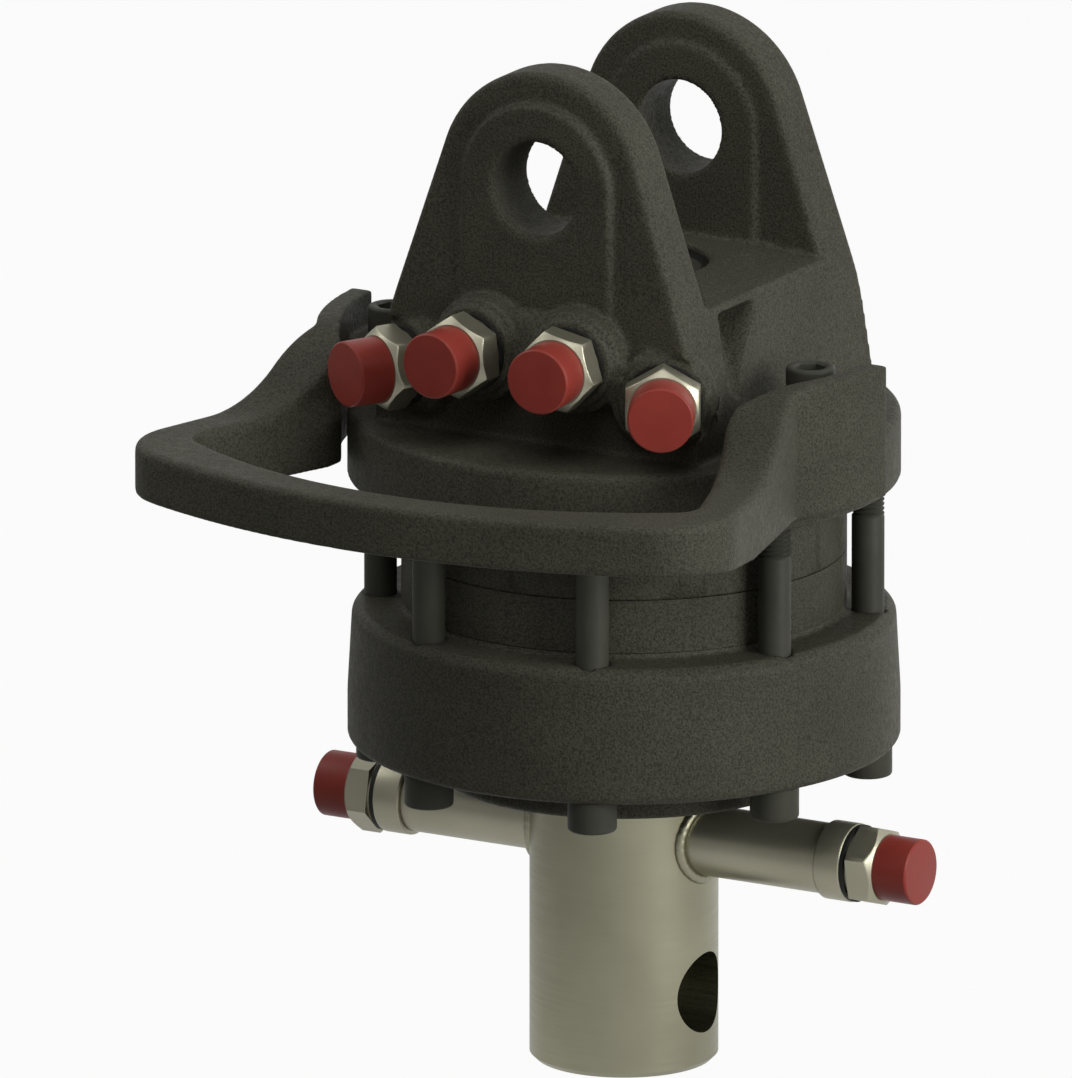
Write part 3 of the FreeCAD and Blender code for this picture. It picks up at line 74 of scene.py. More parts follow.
# A colour picked as sRGB hex, turned to the linear values that the shaders work in
def linear(code):
    parts = [int(code[place:place + 2], 16) / 255 for place in (0, 2, 4)]
    return [part / 12.92 if part <= 0.04045 else ((part + 0.055) / 1.055) ** 2.4
            for part in parts] + [1.0]


def addNode(tree, kind, settings=None, sockets=None):
    node = tree.nodes.new(kind)
    for name, value in (settings or {}).items():
        setattr(node, name, value)
    for name, value in (sockets or {}).items():
        if isinstance(value, bpy.types.NodeSocket):
            tree.links.new(value, node.inputs[name])
        else:
            node.inputs[name].default_value = value
    return node


def newFinish(name):
    material = bpy.data.materials.new(name)
    material.use_nodes = True
    material.node_tree.nodes.clear()
    return material, material.node_tree


def objectPlace(tree):
    return addNode(tree, "ShaderNodeTexCoord").outputs["Object"]


# Noise whose features are about featureSize metres across
def grain(tree, place, featureSize, detail=2.0, roughness=0.5):
    return addNode(tree, "ShaderNodeTexNoise", None, {
        "Vector": place, "Scale": 0.5 / featureSize, "Detail": detail,
        "Roughness": roughness}).outputs["Fac"]


def toneBetween(tree, factor, dark, light, low=0.3, high=0.7):
    ramp = addNode(tree, "ShaderNodeValToRGB", None, {"Fac": factor})
    ramp.color_ramp.elements[0].position = low
    ramp.color_ramp.elements[0].color = linear(dark)
    ramp.color_ramp.elements[1].position = high
    ramp.color_ramp.elements[1].color = linear(light)
    return ramp.outputs["Color"]


def spread(tree, factor, low, high):
    return addNode(tree, "ShaderNodeMapRange", None, {
        "Value": factor, "From Min": 0.3, "From Max": 0.7, "To Min": low,
        "To Max": high}).outputs["Result"]


def relief(tree, height, depth, below=None):
    sockets = {"Height": height, "Distance": depth, "Strength": 1.0}
    if below is not None:
        sockets["Normal"] = below
    return addNode(tree, "ShaderNodeBump", None, sockets).outputs["Normal"]


def finishWith(tree, sockets):
    shader = addNode(tree, "ShaderNodeBsdfPrincipled", None, sockets)
    addNode(tree, "ShaderNodeOutputMaterial", None, {"Surface": shader.outputs["BSDF"]})


# Thick olive-grey enamel over sand-cast iron. The mould's sand shows through as fine grain in the
# bumps, and the same grain darkens the colour in its pits as painted shade; the colour also drifts
# a little. Real moulding sand is 0.2 to 0.3 mm; it is drawn at 0.4 mm so that it shows. Sizes and
# depths are in metres
castEnamel = {"dark": "4d4c41", "light": "565549", "driftSize": 0.018,
              "pitShade": "8e8e8b", "peak": "ffffff", "pitShadeShare": 0.8, "sandSize": 0.0004,
              "lumpSize": 0.0014, "waveSize": 0.012, "sandDepth": 0.0002, "lumpDepth": 0.00026,
              "waveDepth": 0.0004, "smoothest": 0.5, "roughest": 0.64, "gloss": 0.14}


def sandCastIronPainted():
    material, tree = newFinish("enamel on sand-cast iron")
    place = objectPlace(tree)
    drift = grain(tree, place, castEnamel["driftSize"], 3.0)
    sand = grain(tree, place, castEnamel["sandSize"], 2.0, 0.6)
    lumps = grain(tree, place, castEnamel["lumpSize"], 2.0)
    waves = grain(tree, place, castEnamel["waveSize"], 2.0)
    # Painted shade: the colour is multiplied darker where the sand grain's bump is low, in its pits
    colour = addNode(tree, "ShaderNodeMix", {"data_type": "RGBA", "blend_type": "MULTIPLY"}, {
        "Factor": castEnamel["pitShadeShare"],
        "A": toneBetween(tree, drift, castEnamel["dark"], castEnamel["light"]),
        "B": toneBetween(tree, sand, castEnamel["pitShade"], castEnamel["peak"], 0.36, 0.6)})
    normal = relief(tree, waves, castEnamel["waveDepth"])
    normal = relief(tree, lumps, castEnamel["lumpDepth"], normal)
    normal = relief(tree, sand, castEnamel["sandDepth"], normal)
    finishWith(tree, {
        "Base Color": colour.outputs["Result"],
        "Roughness": spread(tree, lumps, castEnamel["smoothest"], castEnamel["roughest"]),
        "Specular IOR Level": castEnamel["gloss"], "Normal": normal})
    return material


# The same enamel over machined or rolled steel, which has no sand in it, so only the spray's
# orange peel of about a millimetre is left
def enamelOnSteel(name, dark, light):
    material, tree = newFinish(name)
    place = objectPlace(tree)
    skin = grain(tree, place, 0.0009, 2.0)
    finishWith(tree, {
        "Base Color": toneBetween(tree, grain(tree, place, 0.01, 3.0), dark, light),
        "Roughness": spread(tree, skin, 0.46, 0.58), "Specular IOR Level": 0.16,
        "Normal": relief(tree, skin, 0.00006)})
    return material


# Bare or plated metal. On a turned piece the tool's marks run round it: the grain is stretched by
# reading almost only its height. Zinc plate is a little dull, so it isn't wholly metallic
def bareMetal(name, dark, light, roughness, toolMark=0.0, along=(1.0, 1.0, 1.0), metallic=1.0):
    material, tree = newFinish(name)
    place = addNode(tree, "ShaderNodeMapping", None, {
        "Vector": objectPlace(tree), "Scale": along}).outputs["Vector"]
    cloud = grain(tree, objectPlace(tree), 0.02, 3.0)
    marks = grain(tree, place, 0.0004, 2.0)
    sockets = {
        "Base Color": toneBetween(tree, cloud, dark, light), "Metallic": metallic,
        "Roughness": spread(tree, marks, roughness - 0.05, roughness + 0.05)}
    if toolMark:
        sockets["Normal"] = relief(tree, marks, toolMark)
    finishWith(tree, sockets)
    return material


# Plastic or rubber from a mould, with a soft sheen and a faint uneven skin
def mouldedPlastic(name, dark, light, roughness):
    material, tree = newFinish(name)
    place = objectPlace(tree)
    cloud = grain(tree, place, 0.006, 3.0)
    finishWith(tree, {
        "Base Color": toneBetween(tree, cloud, dark, light),
        "Roughness": spread(tree, cloud, roughness - 0.05, roughness + 0.05),
        "Specular IOR Level": 0.25, "Normal": relief(tree, grain(tree, place, 0.0007), 0.00004)})
    return material


turnedMarks = (0.03, 0.03, 1.0)
finishes = {
    "painted_casting": sandCastIronPainted(),
    "painted_steel": enamelOnSteel("enamel on turned steel", "43433a", "4b4b41"),
    "black_screw_steel": enamelOnSteel("enamel over blackened screws", "3f3f38", "4a4a41"),
    "spring_steel": bareMetal("oiled spring steel", "4a4a4c", "5c5c5e", 0.35),
    "ground_steel": bareMetal("ground steel", "a8a8a6", "b8b8b6", 0.25, 0.00001),
    "bush_bronze": bareMetal("turned bronze", "9a7a48", "b08d58", 0.35, 0.00001, turnedMarks),
    "turned_steel": bareMetal("turned steel, oiled", "8a8874", "96947f", 0.38, 0.000012, turnedMarks),
    "zinc_plated_steel": bareMetal("zinc-plated steel", "a19e8a", "adaa96", 0.4, metallic=0.8),
    "seal_plastic": mouldedPlastic("pale sliding plastic", "d2cdbc", "dcd8c8", 0.45),
    "nitrile_rubber": mouldedPlastic("nitrile rubber", "1c1c1b", "242422", 0.6),
    "red_plastic": mouldedPlastic("soft red polyethylene", "943a31", "9d3e34", 0.4),
}

for nodeObject in frame["nodes"].values():
    for place, material in enumerate(nodeObject.data.materials):
        nodeObject.data.materials[place] = finishes[material.name.split(".")[0]]
print("finishes:", len(finishes))


# Meshes

# Quads of a grid of rows and columns; the columns always close on themselves, the rows if closed
def ringFaces(rows, columns, closed=False):
    row = np.arange(rows if closed else rows - 1)[:, None]
    column = np.arange(columns)[None, :]
    following = (column + 1) % columns
    above = (row + 1) % rows
    corners = [row * columns + column, row * columns + following,
               above * columns + following, above * columns + column]
    spreadOut = [np.broadcast_to(corner, (len(row), columns)) for corner in corners]
    return np.stack(spreadOut, -1).reshape(-1, 4)


# Puts a closed mesh into the scene: doubles at seams and poles are merged and its normals turned
# outwards, and it rides on a body of the model
def addPiece(name, points, faces, slotName, body, replaced=(), sharpAngle=32.0):
    name = name.replace(" ", "-")
    mesh = bpy.data.meshes.new(name)
    mesh.from_pydata(points.tolist(), [], faces.tolist())
    skin = bmesh.new()
    skin.from_mesh(mesh)
    bmesh.ops.remove_doubles(skin, verts=skin.verts, dist=0.000002)
    bmesh.ops.recalc_face_normals(skin, faces=skin.faces)
    skin.to_mesh(mesh)
    skin.free()
    mesh.materials.append(finishes[slotName])
    mesh.shade_smooth()
    mesh.set_sharp_from_angle(angle=math.radians(sharpAngle))
    piece = bpy.data.objects.new(name, mesh)
    bpy.context.scene.collection.objects.link(piece)
    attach(piece, body)
    if replaced:
        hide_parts(*replaced)
    return piece


# Rows (along, radius, flats) of a profile. Each corner is (along, radius, round, flats); a round is
# a quadratic curve that starts and ends that far from the corner. Between two corners of a
# hexagon the rows lie close together, so that a cone's cut through the flats comes out curved
def roundedRows(corners, steps=5):
    rows = []
    for index, (along, radius, bend, flats) in enumerate(corners):
        here = np.array((along, radius))
        if index and flats and corners[index - 1][3] and radius != corners[index - 1][1]:
            share = np.arange(1, 12)[:, None] / 12
            between = np.array(corners[index - 1][:2]) * (1 - share) + here * share
            rows += [(point[0], point[1], flats) for point in between]
        if not bend:
            rows.append((along, radius, flats))
            continue
        before = np.array(corners[index - 1][:2]) - here
        after = np.array(corners[(index + 1) % len(corners)][:2]) - here
        first = here + before / np.linalg.norm(before) * bend
        last = here + after / np.linalg.norm(after) * bend
        share = np.linspace(0.0, 1.0, steps + 1)[:, None]
        curve = (1 - share) ** 2 * first + 2 * share * (1 - share) * here + share ** 2 * last
        rows += [(point[0], point[1], flats) for point in curve]
    return np.array(rows)


# The same rows with many more between low and high, on the stretch at the thread's own radius
def rowsForThread(rows, low, high, radius, pitch):
    steps = np.arange(low, high, pitch / 8)
    for index in range(len(rows) - 1):
        ends = rows[index:index + 2]
        if abs(ends[0][1] - radius) < 0.01 and abs(ends[1][1] - radius) < 0.01:
            inside = steps[(steps > ends[:, 0].min()) & (steps < ends[:, 0].max())]
            if ends[0][0] > ends[1][0]:
                inside = inside[::-1]
            extra = np.stack([inside, np.full(len(inside), radius),
                              np.full(len(inside), ends[0][2])], -1)
            return np.concatenate([rows[:index + 1], extra, rows[index + 1:]])
    return rows


# Piece turned about an axis. Where flats is above 0 the radius is no more than a hexagon's with
# those flats: half the flats over the cosine of the angle from the nearest flat's middle.
# A thread lowers the radius by its depth times a triangle wave that climbs one pitch per turn
def turnedPoints(corners, origin, direction, columns=96, thread=None, roll=0.0):
    rows = roundedRows(corners)
    if thread:
        rows = rowsForThread(rows, *thread[:4])
    angle = np.arange(columns) / columns * 2 * math.pi
    along, radius, flats = (rows[:, place][:, None] for place in range(3))
    fromFlat = np.mod(angle + math.pi / 6, math.pi / 3) - math.pi / 6
    hexagon = np.minimum(radius, flats / 2 / np.cos(fromFlat))
    reach = np.where(flats > 0, hexagon, radius + 0 * angle)
    if thread:
        low, high, threadRadius, pitch, depth = thread
        wave = np.abs(2 * np.mod(along / pitch - angle / (2 * math.pi), 1) - 1)
        runOut = np.clip(np.minimum(along - low, high - along) / pitch, 0, 1)
        flatCrests = np.clip(wave * 1.25 - 0.1, 0, 1)
        reach = reach - depth * runOut * flatCrests * (np.abs(radius - threadRadius) < 0.01)
    forward = direction.normalized()
    if abs(forward.z) > 0.9:
        side = forward.orthogonal().normalized()
    else:
        side = upright.cross(forward).normalized()
    third = forward.cross(side)
    angle = angle + roll
    points = (np.array(origin) + mm * (along[..., None] * np.array(forward)
              + (reach * np.cos(angle))[..., None] * np.array(side)
              + (reach * np.sin(angle))[..., None] * np.array(third)))
    return points.reshape(-1, 3), len(rows), columns


def turnedPiece(name, corners, origin, direction, slotName, body, replaced=(), closed=False,
                **shape):
    points, rows, columns = turnedPoints(corners, origin, direction, **shape)
    return addPiece(name, points, ringFaces(rows, columns, closed), slotName, body, replaced)


def pointsOf(mesh):
    place = np.empty(len(mesh.vertices) * 3)
    mesh.vertices.foreach_get("co", place)
    return place.reshape(-1, 3)


# The mesh that an object's modifier makes of it
def applied(source, kind, **settings):
    modifier = source.modifiers.new(kind, kind)
    for name, value in settings.items():
        setattr(modifier, name, value)
    graph = bpy.context.evaluated_depsgraph_get()
    mesh = bpy.data.meshes.new_from_object(source.evaluated_get(graph))
    source.modifiers.remove(modifier)
    return mesh


# A casting's blended corners: its solids are rebuilt as one even skin of voxel-sized faces, and
# each point then moves again and again towards the middle of its neighbours. Machined faces are
# put back to their true place, and plain stretches give up faces until mostFaces triangles are left
def castPiece(name, nodes, voxel, passes, machined, mostFaces=190000):
    welded = bmesh.new()
    for node in nodes:
        welded.from_mesh(frame["nodes"][node].data)
    bmesh.ops.remove_doubles(welded, verts=welded.verts, dist=0.000002)
    coreMesh = bpy.data.meshes.new(f"{name}-core")
    welded.to_mesh(coreMesh)
    welded.free()
    core = bpy.data.objects.new(f"{name}-core", coreMesh)
    bpy.context.scene.collection.objects.link(core)
    mesh = applied(core, "REMESH", mode="VOXEL", voxel_size=voxel)
    count = len(mesh.vertices)
    place = pointsOf(mesh)
    ends = np.empty(len(mesh.edges) * 2, int)
    mesh.edges.foreach_get("vertices", ends)
    first, last = ends.reshape(-1, 2).T
    neighbours = np.maximum(np.bincount(first, minlength=count)
                            + np.bincount(last, minlength=count), 1)
    for _ in range(passes):
        middle = np.stack([np.bincount(first, place[last, axis], count)
                           + np.bincount(last, place[first, axis], count) for axis in range(3)], -1)
        place += 0.5 * (middle / neighbours[:, None] - place)
    machined(place)
    mesh.vertices.foreach_set("co", place.ravel())
    core.data = mesh
    mesh = applied(core, "DECIMATE", ratio=min(1.0, mostFaces / (2 * len(mesh.polygons))))
    bpy.data.objects.remove(core)
    place = pointsOf(mesh)
    machined(place)
    mesh.vertices.foreach_set("co", place.ravel())
    mesh.materials.clear()
    mesh.materials.append(finishes["painted_casting"])
    mesh.shade_smooth()
    piece = bpy.data.objects.new(f"{name}-skin", mesh)
    bpy.context.scene.collection.objects.link(piece)
    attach(piece, "housing")
    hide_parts(*nodes)
    print(piece.name, len(mesh.polygons))
    return piece


# Put points that lie within reach of a cylinder about Z, or about Y, exactly on it
def ontoCylinder(place, radius, low, high, about=2, centre=(0.0, 0.0), reach=1.1 * mm):
    across = [axis for axis in range(3) if axis != about]
    offset = place[:, across] - centre
    distance = np.maximum(np.linalg.norm(offset, axis=1), 1e-9)
    near = (np.abs(distance - radius) < reach) & (place[:, about] > low) & (place[:, about] < high)
    place[np.ix_(near, across)] = (centre + offset * (radius / distance)[:, None])[near]


# Put points of a ring between two radii, within reach of a level, exactly on that level
def ontoLevel(place, level, inner, outer, reach=1.1 * mm):
    distance = np.hypot(place[:, 0], place[:, 1])
    near = (np.abs(place[:, 2] - level) < reach) & (distance > inner) & (distance < outer)
    place[near, 2] = level


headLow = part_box("head_housing")[0]
lowerLow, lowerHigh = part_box("lower_housing")
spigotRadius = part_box("stator_ring")[1].x
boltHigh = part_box("main_bolts")[1]

# The two castings between which the stator ring is clamped, and the screws' circle through both
flangeRadius = 100.8 * mm
headFlange = {"top": -95.5 * mm, "bottom": -121.3 * mm, "topEdge": 3.5 * mm, "bottomEdge": 1.5 * mm}
lowerFlange = {"top": lowerHigh.z - 2.0 * mm, "bottom": -219.6 * mm, "topEdge": -202.0 * mm,
               "bottomEdge": 2.0 * mm, "topReach": 94.0 * mm, "neckRadius": 69.0 * mm}
bolts = {"count": 8, "circle": flangeRadius - 11.3 * mm, "holeRadius": 6.15 * mm, "first": 22.5,
         "holeHeight": 20.0 * mm, "threadShows": 13.0 * mm}
boltAngles = [math.radians(bolts["first"] + 360 / bolts["count"] * number)
              for number in range(bolts["count"])]
boltPlaces = [(bolts["circle"] * math.cos(angle), bolts["circle"] * math.sin(angle))
              for angle in boltAngles]
linkBore = {"radius": 17.5 * mm, "from": 40.2 * mm, "to": 64.3 * mm, "reach": 1.8 * mm}

# The hollow down each side of the block, in millimetres. Its depth under the flank rises steeply
# behind a rim that bends with the height, and its width and depth shrink towards the foot
sideHollow = {"top": -45.2, "full": -49.0, "foot": -79.0, "lowest": -84.0, "front": -50.0,
              "rear": -6.0, "least": 46.0, "rim": -38.5, "rimBend": 6.0, "rimHeight": -57.0,
              "rimSpan": 22.0, "width": 24.0, "leastWidth": 3.0, "widthPower": 1.2, "depth": 15.0,
              "depthPower": 1.3, "rise": 0.1, "fall": 0.2}
flank = {"shoulder": (61.6, -49.8), "foot": (67.6, -85.0), "lean": 0.338}


# A flank's distance out changes evenly with the height, at one slope under the shoulder and another
# above. Points on it move in by the hollow's depth, which is a smooth step up behind the rim times
# a smooth step down at the rear edge
def hollowSides(place):
    across, front, up = (place[:, axis] / mm for axis in range(3))
    inReach = ((np.abs(across) > sideHollow["least"]) & (front > sideHollow["front"])
               & (front < sideHollow["rear"]) & (up > sideHollow["lowest"])
               & (up < sideHollow["top"]))
    shoulder, foot = flank["shoulder"], flank["foot"]
    below = shoulder[1] - up
    slope = (foot[0] - shoulder[0]) / (shoulder[1] - foot[1])
    surface = shoulder[0] + np.where(below > 0, below * slope, below * flank["lean"])
    share = np.clip((sideHollow["full"] - up) / (sideHollow["full"] - sideHollow["foot"]), 0, 1)
    bend = ((up - sideHollow["rimHeight"]) / sideHollow["rimSpan"]) ** 2
    rim = sideHollow["rim"] + sideHollow["rimBend"] * bend
    width = sideHollow["width"] * (1 - share) ** sideHollow["widthPower"] + sideHollow["leastWidth"]
    position = (front - rim) / width
    rise = np.clip(position / sideHollow["rise"], 0, 1)
    fall = np.clip((1 - position) / sideHollow["fall"], 0, 1)
    shape = rise * rise * (3 - 2 * rise) * fall * fall * (3 - 2 * fall)
    start = np.clip((sideHollow["top"] - up) / (sideHollow["top"] - sideHollow["full"]), 0, 1)
    depth = sideHollow["depth"] * (1 - share) ** sideHollow["depthPower"] * start * shape
    place[inReach, 0] = (np.sign(across) * (surface - depth) * mm)[inReach]


def machinedHead(place):
    top, bottom = headFlange["top"], headFlange["bottom"]
    hollowSides(place)
    ontoCylinder(place, flangeRadius, bottom + headFlange["bottomEdge"], top - headFlange["topEdge"])
    ontoCylinder(place, spigotRadius, headLow.z + 0.2 * mm, bottom - 0.8 * mm)
    for near, far in ((-linkBore["to"], -linkBore["from"]), (linkBore["from"], linkBore["to"])):
        ontoCylinder(place, linkBore["radius"], near, far, about=1, reach=linkBore["reach"])
    ontoLevel(place, bottom, spigotRadius + 1.5 * mm, flangeRadius - 1.5 * mm)
    ontoLevel(place, headLow.z, 0.0, spigotRadius - 0.4 * mm)
    for centre in boltPlaces:
        ontoCylinder(place, bolts["holeRadius"], headLow.z, bottom + bolts["holeHeight"],
                     centre=centre)


def machinedLower(place):
    top, bottom, neck = lowerFlange["top"], lowerFlange["bottom"], lowerFlange["neckRadius"]
    ontoCylinder(place, spigotRadius, top + 0.5 * mm, lowerHigh.z - 0.3 * mm)
    ontoCylinder(place, neck, lowerLow.z + 2.0 * mm, bottom - 0.8 * mm)
    ontoCylinder(place, flangeRadius, bottom + lowerFlange["bottomEdge"], lowerFlange["topEdge"])
    ontoLevel(place, top, spigotRadius + 1.0 * mm, lowerFlange["topReach"])
    ontoLevel(place, lowerHigh.z, 0.0, spigotRadius - 0.4 * mm)
    ontoLevel(place, bottom, neck + 1.5 * mm, flangeRadius - 2.5 * mm)
    for centre in boltPlaces:
        ontoCylinder(place, bolts["holeRadius"], lowerLow.z, lowerHigh.z, centre=centre)


def asCast(place):
    return place


castPiece("head", ["head_housing", "head_ear_front", "head_ear_rear"], 0.95 * mm, 3, machinedHead)
castPiece("lower_housing", ["lower_housing"], 1.1 * mm, 2, machinedLower)
castPiece("guard", ["guard"], 0.85 * mm, 6, asCast)


# Screws, as one mesh per node: a cylinder head with a hexagon socket, a plain shank and a thread
screw = {"headRadius": 9.0, "headHeight": 12.0, "headEdge": 1.3, "shankRadius": 6.0,
         "socketFlats": 10.0, "socketDepth": 6.0, "pitch": 1.75, "threadDepth": 0.95, "endEdge": 1.0,
         "guardThread": 20.0, "turnBetween": 1.7}


def screwCorners(length):
    head, shank, flats = screw["headRadius"], screw["shankRadius"], screw["socketFlats"]
    depth, height, edge = screw["socketDepth"], screw["headHeight"], screw["endEdge"]
    socketCorner = flats / 2 / math.cos(math.pi / 6)
    return [(-height + depth + 1.4, 0.0, 0.0, 0.0), (-height + depth, 4.4, 0.0, 0.0),
            (-height + depth, socketCorner, 0.0, flats), (-height + 0.6, socketCorner, 0.0, flats),
            (-height, socketCorner + 0.6, 0.0, 0.0), (-height, head, screw["headEdge"], 0.0),
            (0.0, head, 0.3, 0.0), (0.0, shank, 0.0, 0.0), (length - edge, shank, 0.0, 0.0),
            (length, shank - edge, 0.0, 0.0), (length, 0.0, 0.0, 0.0)]


def addScrews(name, seats, direction, length, threadFrom, node):
    thread = (threadFrom, length - screw["endEdge"], screw["shankRadius"], screw["pitch"],
              screw["threadDepth"])
    allPoints, allFaces, start = [], [], 0
    for number, seat in enumerate(seats):
        points, rows, columns = turnedPoints(screwCorners(length), seat, direction, columns=48,
                                             thread=thread, roll=number * screw["turnBetween"])
        allPoints.append(points)
        allFaces.append(ringFaces(rows, columns) + start)
        start += len(points)
    addPiece(name, np.concatenate(allPoints), np.concatenate(allFaces), "black_screw_steel",
             "housing", [node])


boltSeats = [Vector((x, y, lowerFlange["bottom"])) for x, y in boltPlaces]
boltLength = (boltHigh.z - lowerFlange["bottom"]) / mm
visibleThreadFrom = (headFlange["bottom"] - bolts["threadShows"] - lowerFlange["bottom"]) / mm
addScrews("main screws", boltSeats, upright, boltLength, visibleThreadFrom, "main_bolts")

guardScrewLow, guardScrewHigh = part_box("guard_screws")
guardSeat = guardScrewHigh.z - screw["headHeight"] * mm
guardAcross = guardScrewHigh.x - screw["headRadius"] * mm
guardFront = (guardScrewLow.y + guardScrewHigh.y) / 2
guardSeats = [Vector((side * guardAcross, guardFront, guardSeat)) for side in (-1, 1)]
guardLength = (guardSeat - guardScrewLow.z) / mm
addScrews("guard screws", guardSeats, -upright, guardLength, guardLength - screw["guardThread"],
          "guard_screws")
print("screws:", bolts["count"] + len(guardSeats))

# Adapters and dust caps. Distances run outwards from the face that the seal washer lies on
sealThickness = 1.6
fitting = {"hexFlats": 27.0, "hexEnd": 12.8, "neckRadius": 13.2, "nippleRadius": 10.4, "tip": 23.8,
           "boreRadius": 6.0, "noseRadius": 10.0, "portNose": -14.0, "tubeNose": -8.0, "edge": 1.0,
           "crownInset": 0.9, "crownLean": 1.1, "pitch": 1.5, "threadDepth": 0.5}
cap = {"radius": 12.1, "length": 13.8, "wall": 2.2, "edge": 0.6}


def adapterCorners(noseEnd):
    flats, hexEnd, neck = fitting["hexFlats"], fitting["hexEnd"], fitting["neckRadius"]
    nipple, tip, edge = fitting["nippleRadius"], fitting["tip"], fitting["edge"]
    bore, nose = fitting["boreRadius"], fitting["noseRadius"]
    hexStart = sealThickness + 1.2
    corner = flats / 2 / math.cos(math.pi / 6)
    crown = (corner - flats / 2) * fitting["crownLean"]
    return [(noseEnd, bore, 0.0, 0.0), (noseEnd, nose - edge, 0.0, 0.0),
            (noseEnd + edge, nose, 0.0, 0.0), (sealThickness, nose, 0.0, 0.0),
            (sealThickness, neck, 0.3, 0.0), (hexStart, neck, 0.0, 0.0),
            (hexStart, corner, 0.3, flats), (hexEnd - crown, corner, 0.0, flats),
            (hexEnd, flats / 2 - fitting["crownInset"], 0.0, flats), (hexEnd, nipple + 0.1, 0.3, 0.0),
            (hexEnd + 0.1, nipple, 0.0, 0.0), (tip - edge, nipple, 0.0, 0.0),
            (tip, nipple - edge, 0.2, 0.0), (tip, bore, 0.3, 0.0)]


def capCorners():
    outer, wall, edge = cap["radius"], cap["wall"], cap["edge"]
    base, inside = fitting["hexEnd"], fitting["nippleRadius"] + 0.05
    end = base + cap["length"]
    return [(end, 0.0, 0.0, 0.0), (end, outer - edge, 0.2, 0.0), (end - edge, outer, 0.2, 0.0),
            (base, outer, 0.3, 0.0), (base, inside, 0.0, 0.0), (end - wall, inside, 0.0, 0.0),
            (end - wall, 0.0, 0.0, 0.0)]


joints = {joint["name"]: joint for joint in frame["joints"]}


def addFitting(adapterNode, sealNode, capNode, jointName, noseEnd, adapterBody, capBody, roll):
    direction = Vector(joints[jointName]["axis"]).normalized()
    low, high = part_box(sealNode)
    seat = (low + high) / 2 - direction * sealThickness / 2 * mm
    nippleThread = (fitting["hexEnd"] + 0.3, fitting["tip"] - fitting["edge"],
                    fitting["nippleRadius"], fitting["pitch"], fitting["threadDepth"])
    turnedPiece(adapterNode.replace("_", " "), adapterCorners(noseEnd), seat, direction,
                "zinc_plated_steel", adapterBody, [adapterNode], closed=True, thread=nippleThread,
                roll=roll)
    turnedPiece(capNode.replace("_", " "), capCorners(), seat, direction, "red_plastic", capBody,
                [capNode])


# How far each hexagon happened to be turned when it was tightened, in radians
portRolls = {1: 0.25, 2: 0.1, 3: 0.3, 4: 0.0}
tubeRoll = 0.2
for number, roll in portRolls.items():
    addFitting(f"port_adapter_{number}", f"port_seal_{number}", f"port_cap_{number}",
               f"port_cap_{number}_pull", fitting["portNose"], "housing", f"port_cap_{number}", roll)
for side in ("left", "right"):
    addFitting(f"tube_adapter_{side}", f"tube_seal_{side}", f"tube_cap_{side}",
               f"tube_cap_{side}_pull", fitting["tubeNose"], "shaft", f"tube_cap_{side}", tubeRoll)
print("fittings:", len(portRolls) + 2)

# Side tubes with their bosses, and the weld round each tube's root
shaftRadius = 34.5
tube = {"radius": 13.0, "boreRadius": 9.0, "reach": 87.0, "rootDepth": 2.0, "bossRadius": 14.5,
        "bossEnd": 98.0, "bossFloor": 2.5}
weld = {"radius": 14.0, "bead": 2.2, "ripple": 0.1, "ripples": 30, "rowsPerRipple": 6,
        "columns": 20}


def addTube(side, name):
    direction = Vector((side, 0, 0))
    low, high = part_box(f"tube_{name}")
    axis = Vector((0, 0, (low.z + high.z) / 2))
    bore, outer, reach, end = tube["boreRadius"], tube["radius"], tube["reach"], tube["bossEnd"]
    root = math.sqrt(shaftRadius ** 2 - outer ** 2) - tube["rootDepth"]
    turnedPiece(f"tube {name}", [
        (root, bore, 0.0, 0.0), (root, outer, 0.0, 0.0), (reach, outer, 0.3, 0.0),
        (reach, bore, 0.0, 0.0)],
        axis, direction, "zinc_plated_steel", "shaft", [f"tube_{name}"], closed=True)
    socket, boss, seat = fitting["noseRadius"] + 0.02, tube["bossRadius"], reach + tube["bossFloor"]
    turnedPiece(f"tube boss {name}", [
        (reach, bore, 0.0, 0.0), (reach, boss, 1.0, 0.0), (end, boss, 0.8, 0.0),
        (end, socket, 0.0, 0.0), (seat, socket, 0.0, 0.0), (seat, bore, 0.0, 0.0)],
        axis, direction, "zinc_plated_steel", "shaft", [f"tube_boss_{name}"], closed=True)


# The bead follows the saddle where a tube meets the shaft: for an angle round the tube, the path's
# distance out is the root of the shaft's radius squared less the sideways offset squared. The bead
# is a circle round that path whose radius ripples as the welder's passes do
def addWeld(side, name):
    low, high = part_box(f"tube_{name}")
    level = (low.z + high.z) / 2
    columns, rows = weld["columns"], weld["ripples"] * weld["rowsPerRipple"]
    angle = (np.arange(rows) / rows * 2 * math.pi)[:, None]
    turn = (np.arange(columns) / columns * 2 * math.pi)[None, :]
    saddle = np.sqrt(shaftRadius ** 2 - (weld["radius"] * np.cos(angle)) ** 2)
    bead = weld["bead"] + weld["ripple"] * np.abs(np.sin(angle * weld["ripples"] / 2))
    around = weld["radius"] + bead * np.cos(turn)
    out = saddle + bead * np.sin(turn)
    points = np.stack([side * out, around * np.cos(angle), around * np.sin(angle)], -1) * mm
    points[..., 2] += level
    addPiece(f"tube weld {name}", points.reshape(-1, 3), ringFaces(rows, columns, True),
             "turned_steel", "shaft", sharpAngle=60.0)


tubeSides = {"right": 1, "left": -1}
for name, side in tubeSides.items():
    addTube(side, name)
    addWeld(side, name)
print("side tubes:", len(tubeSides))

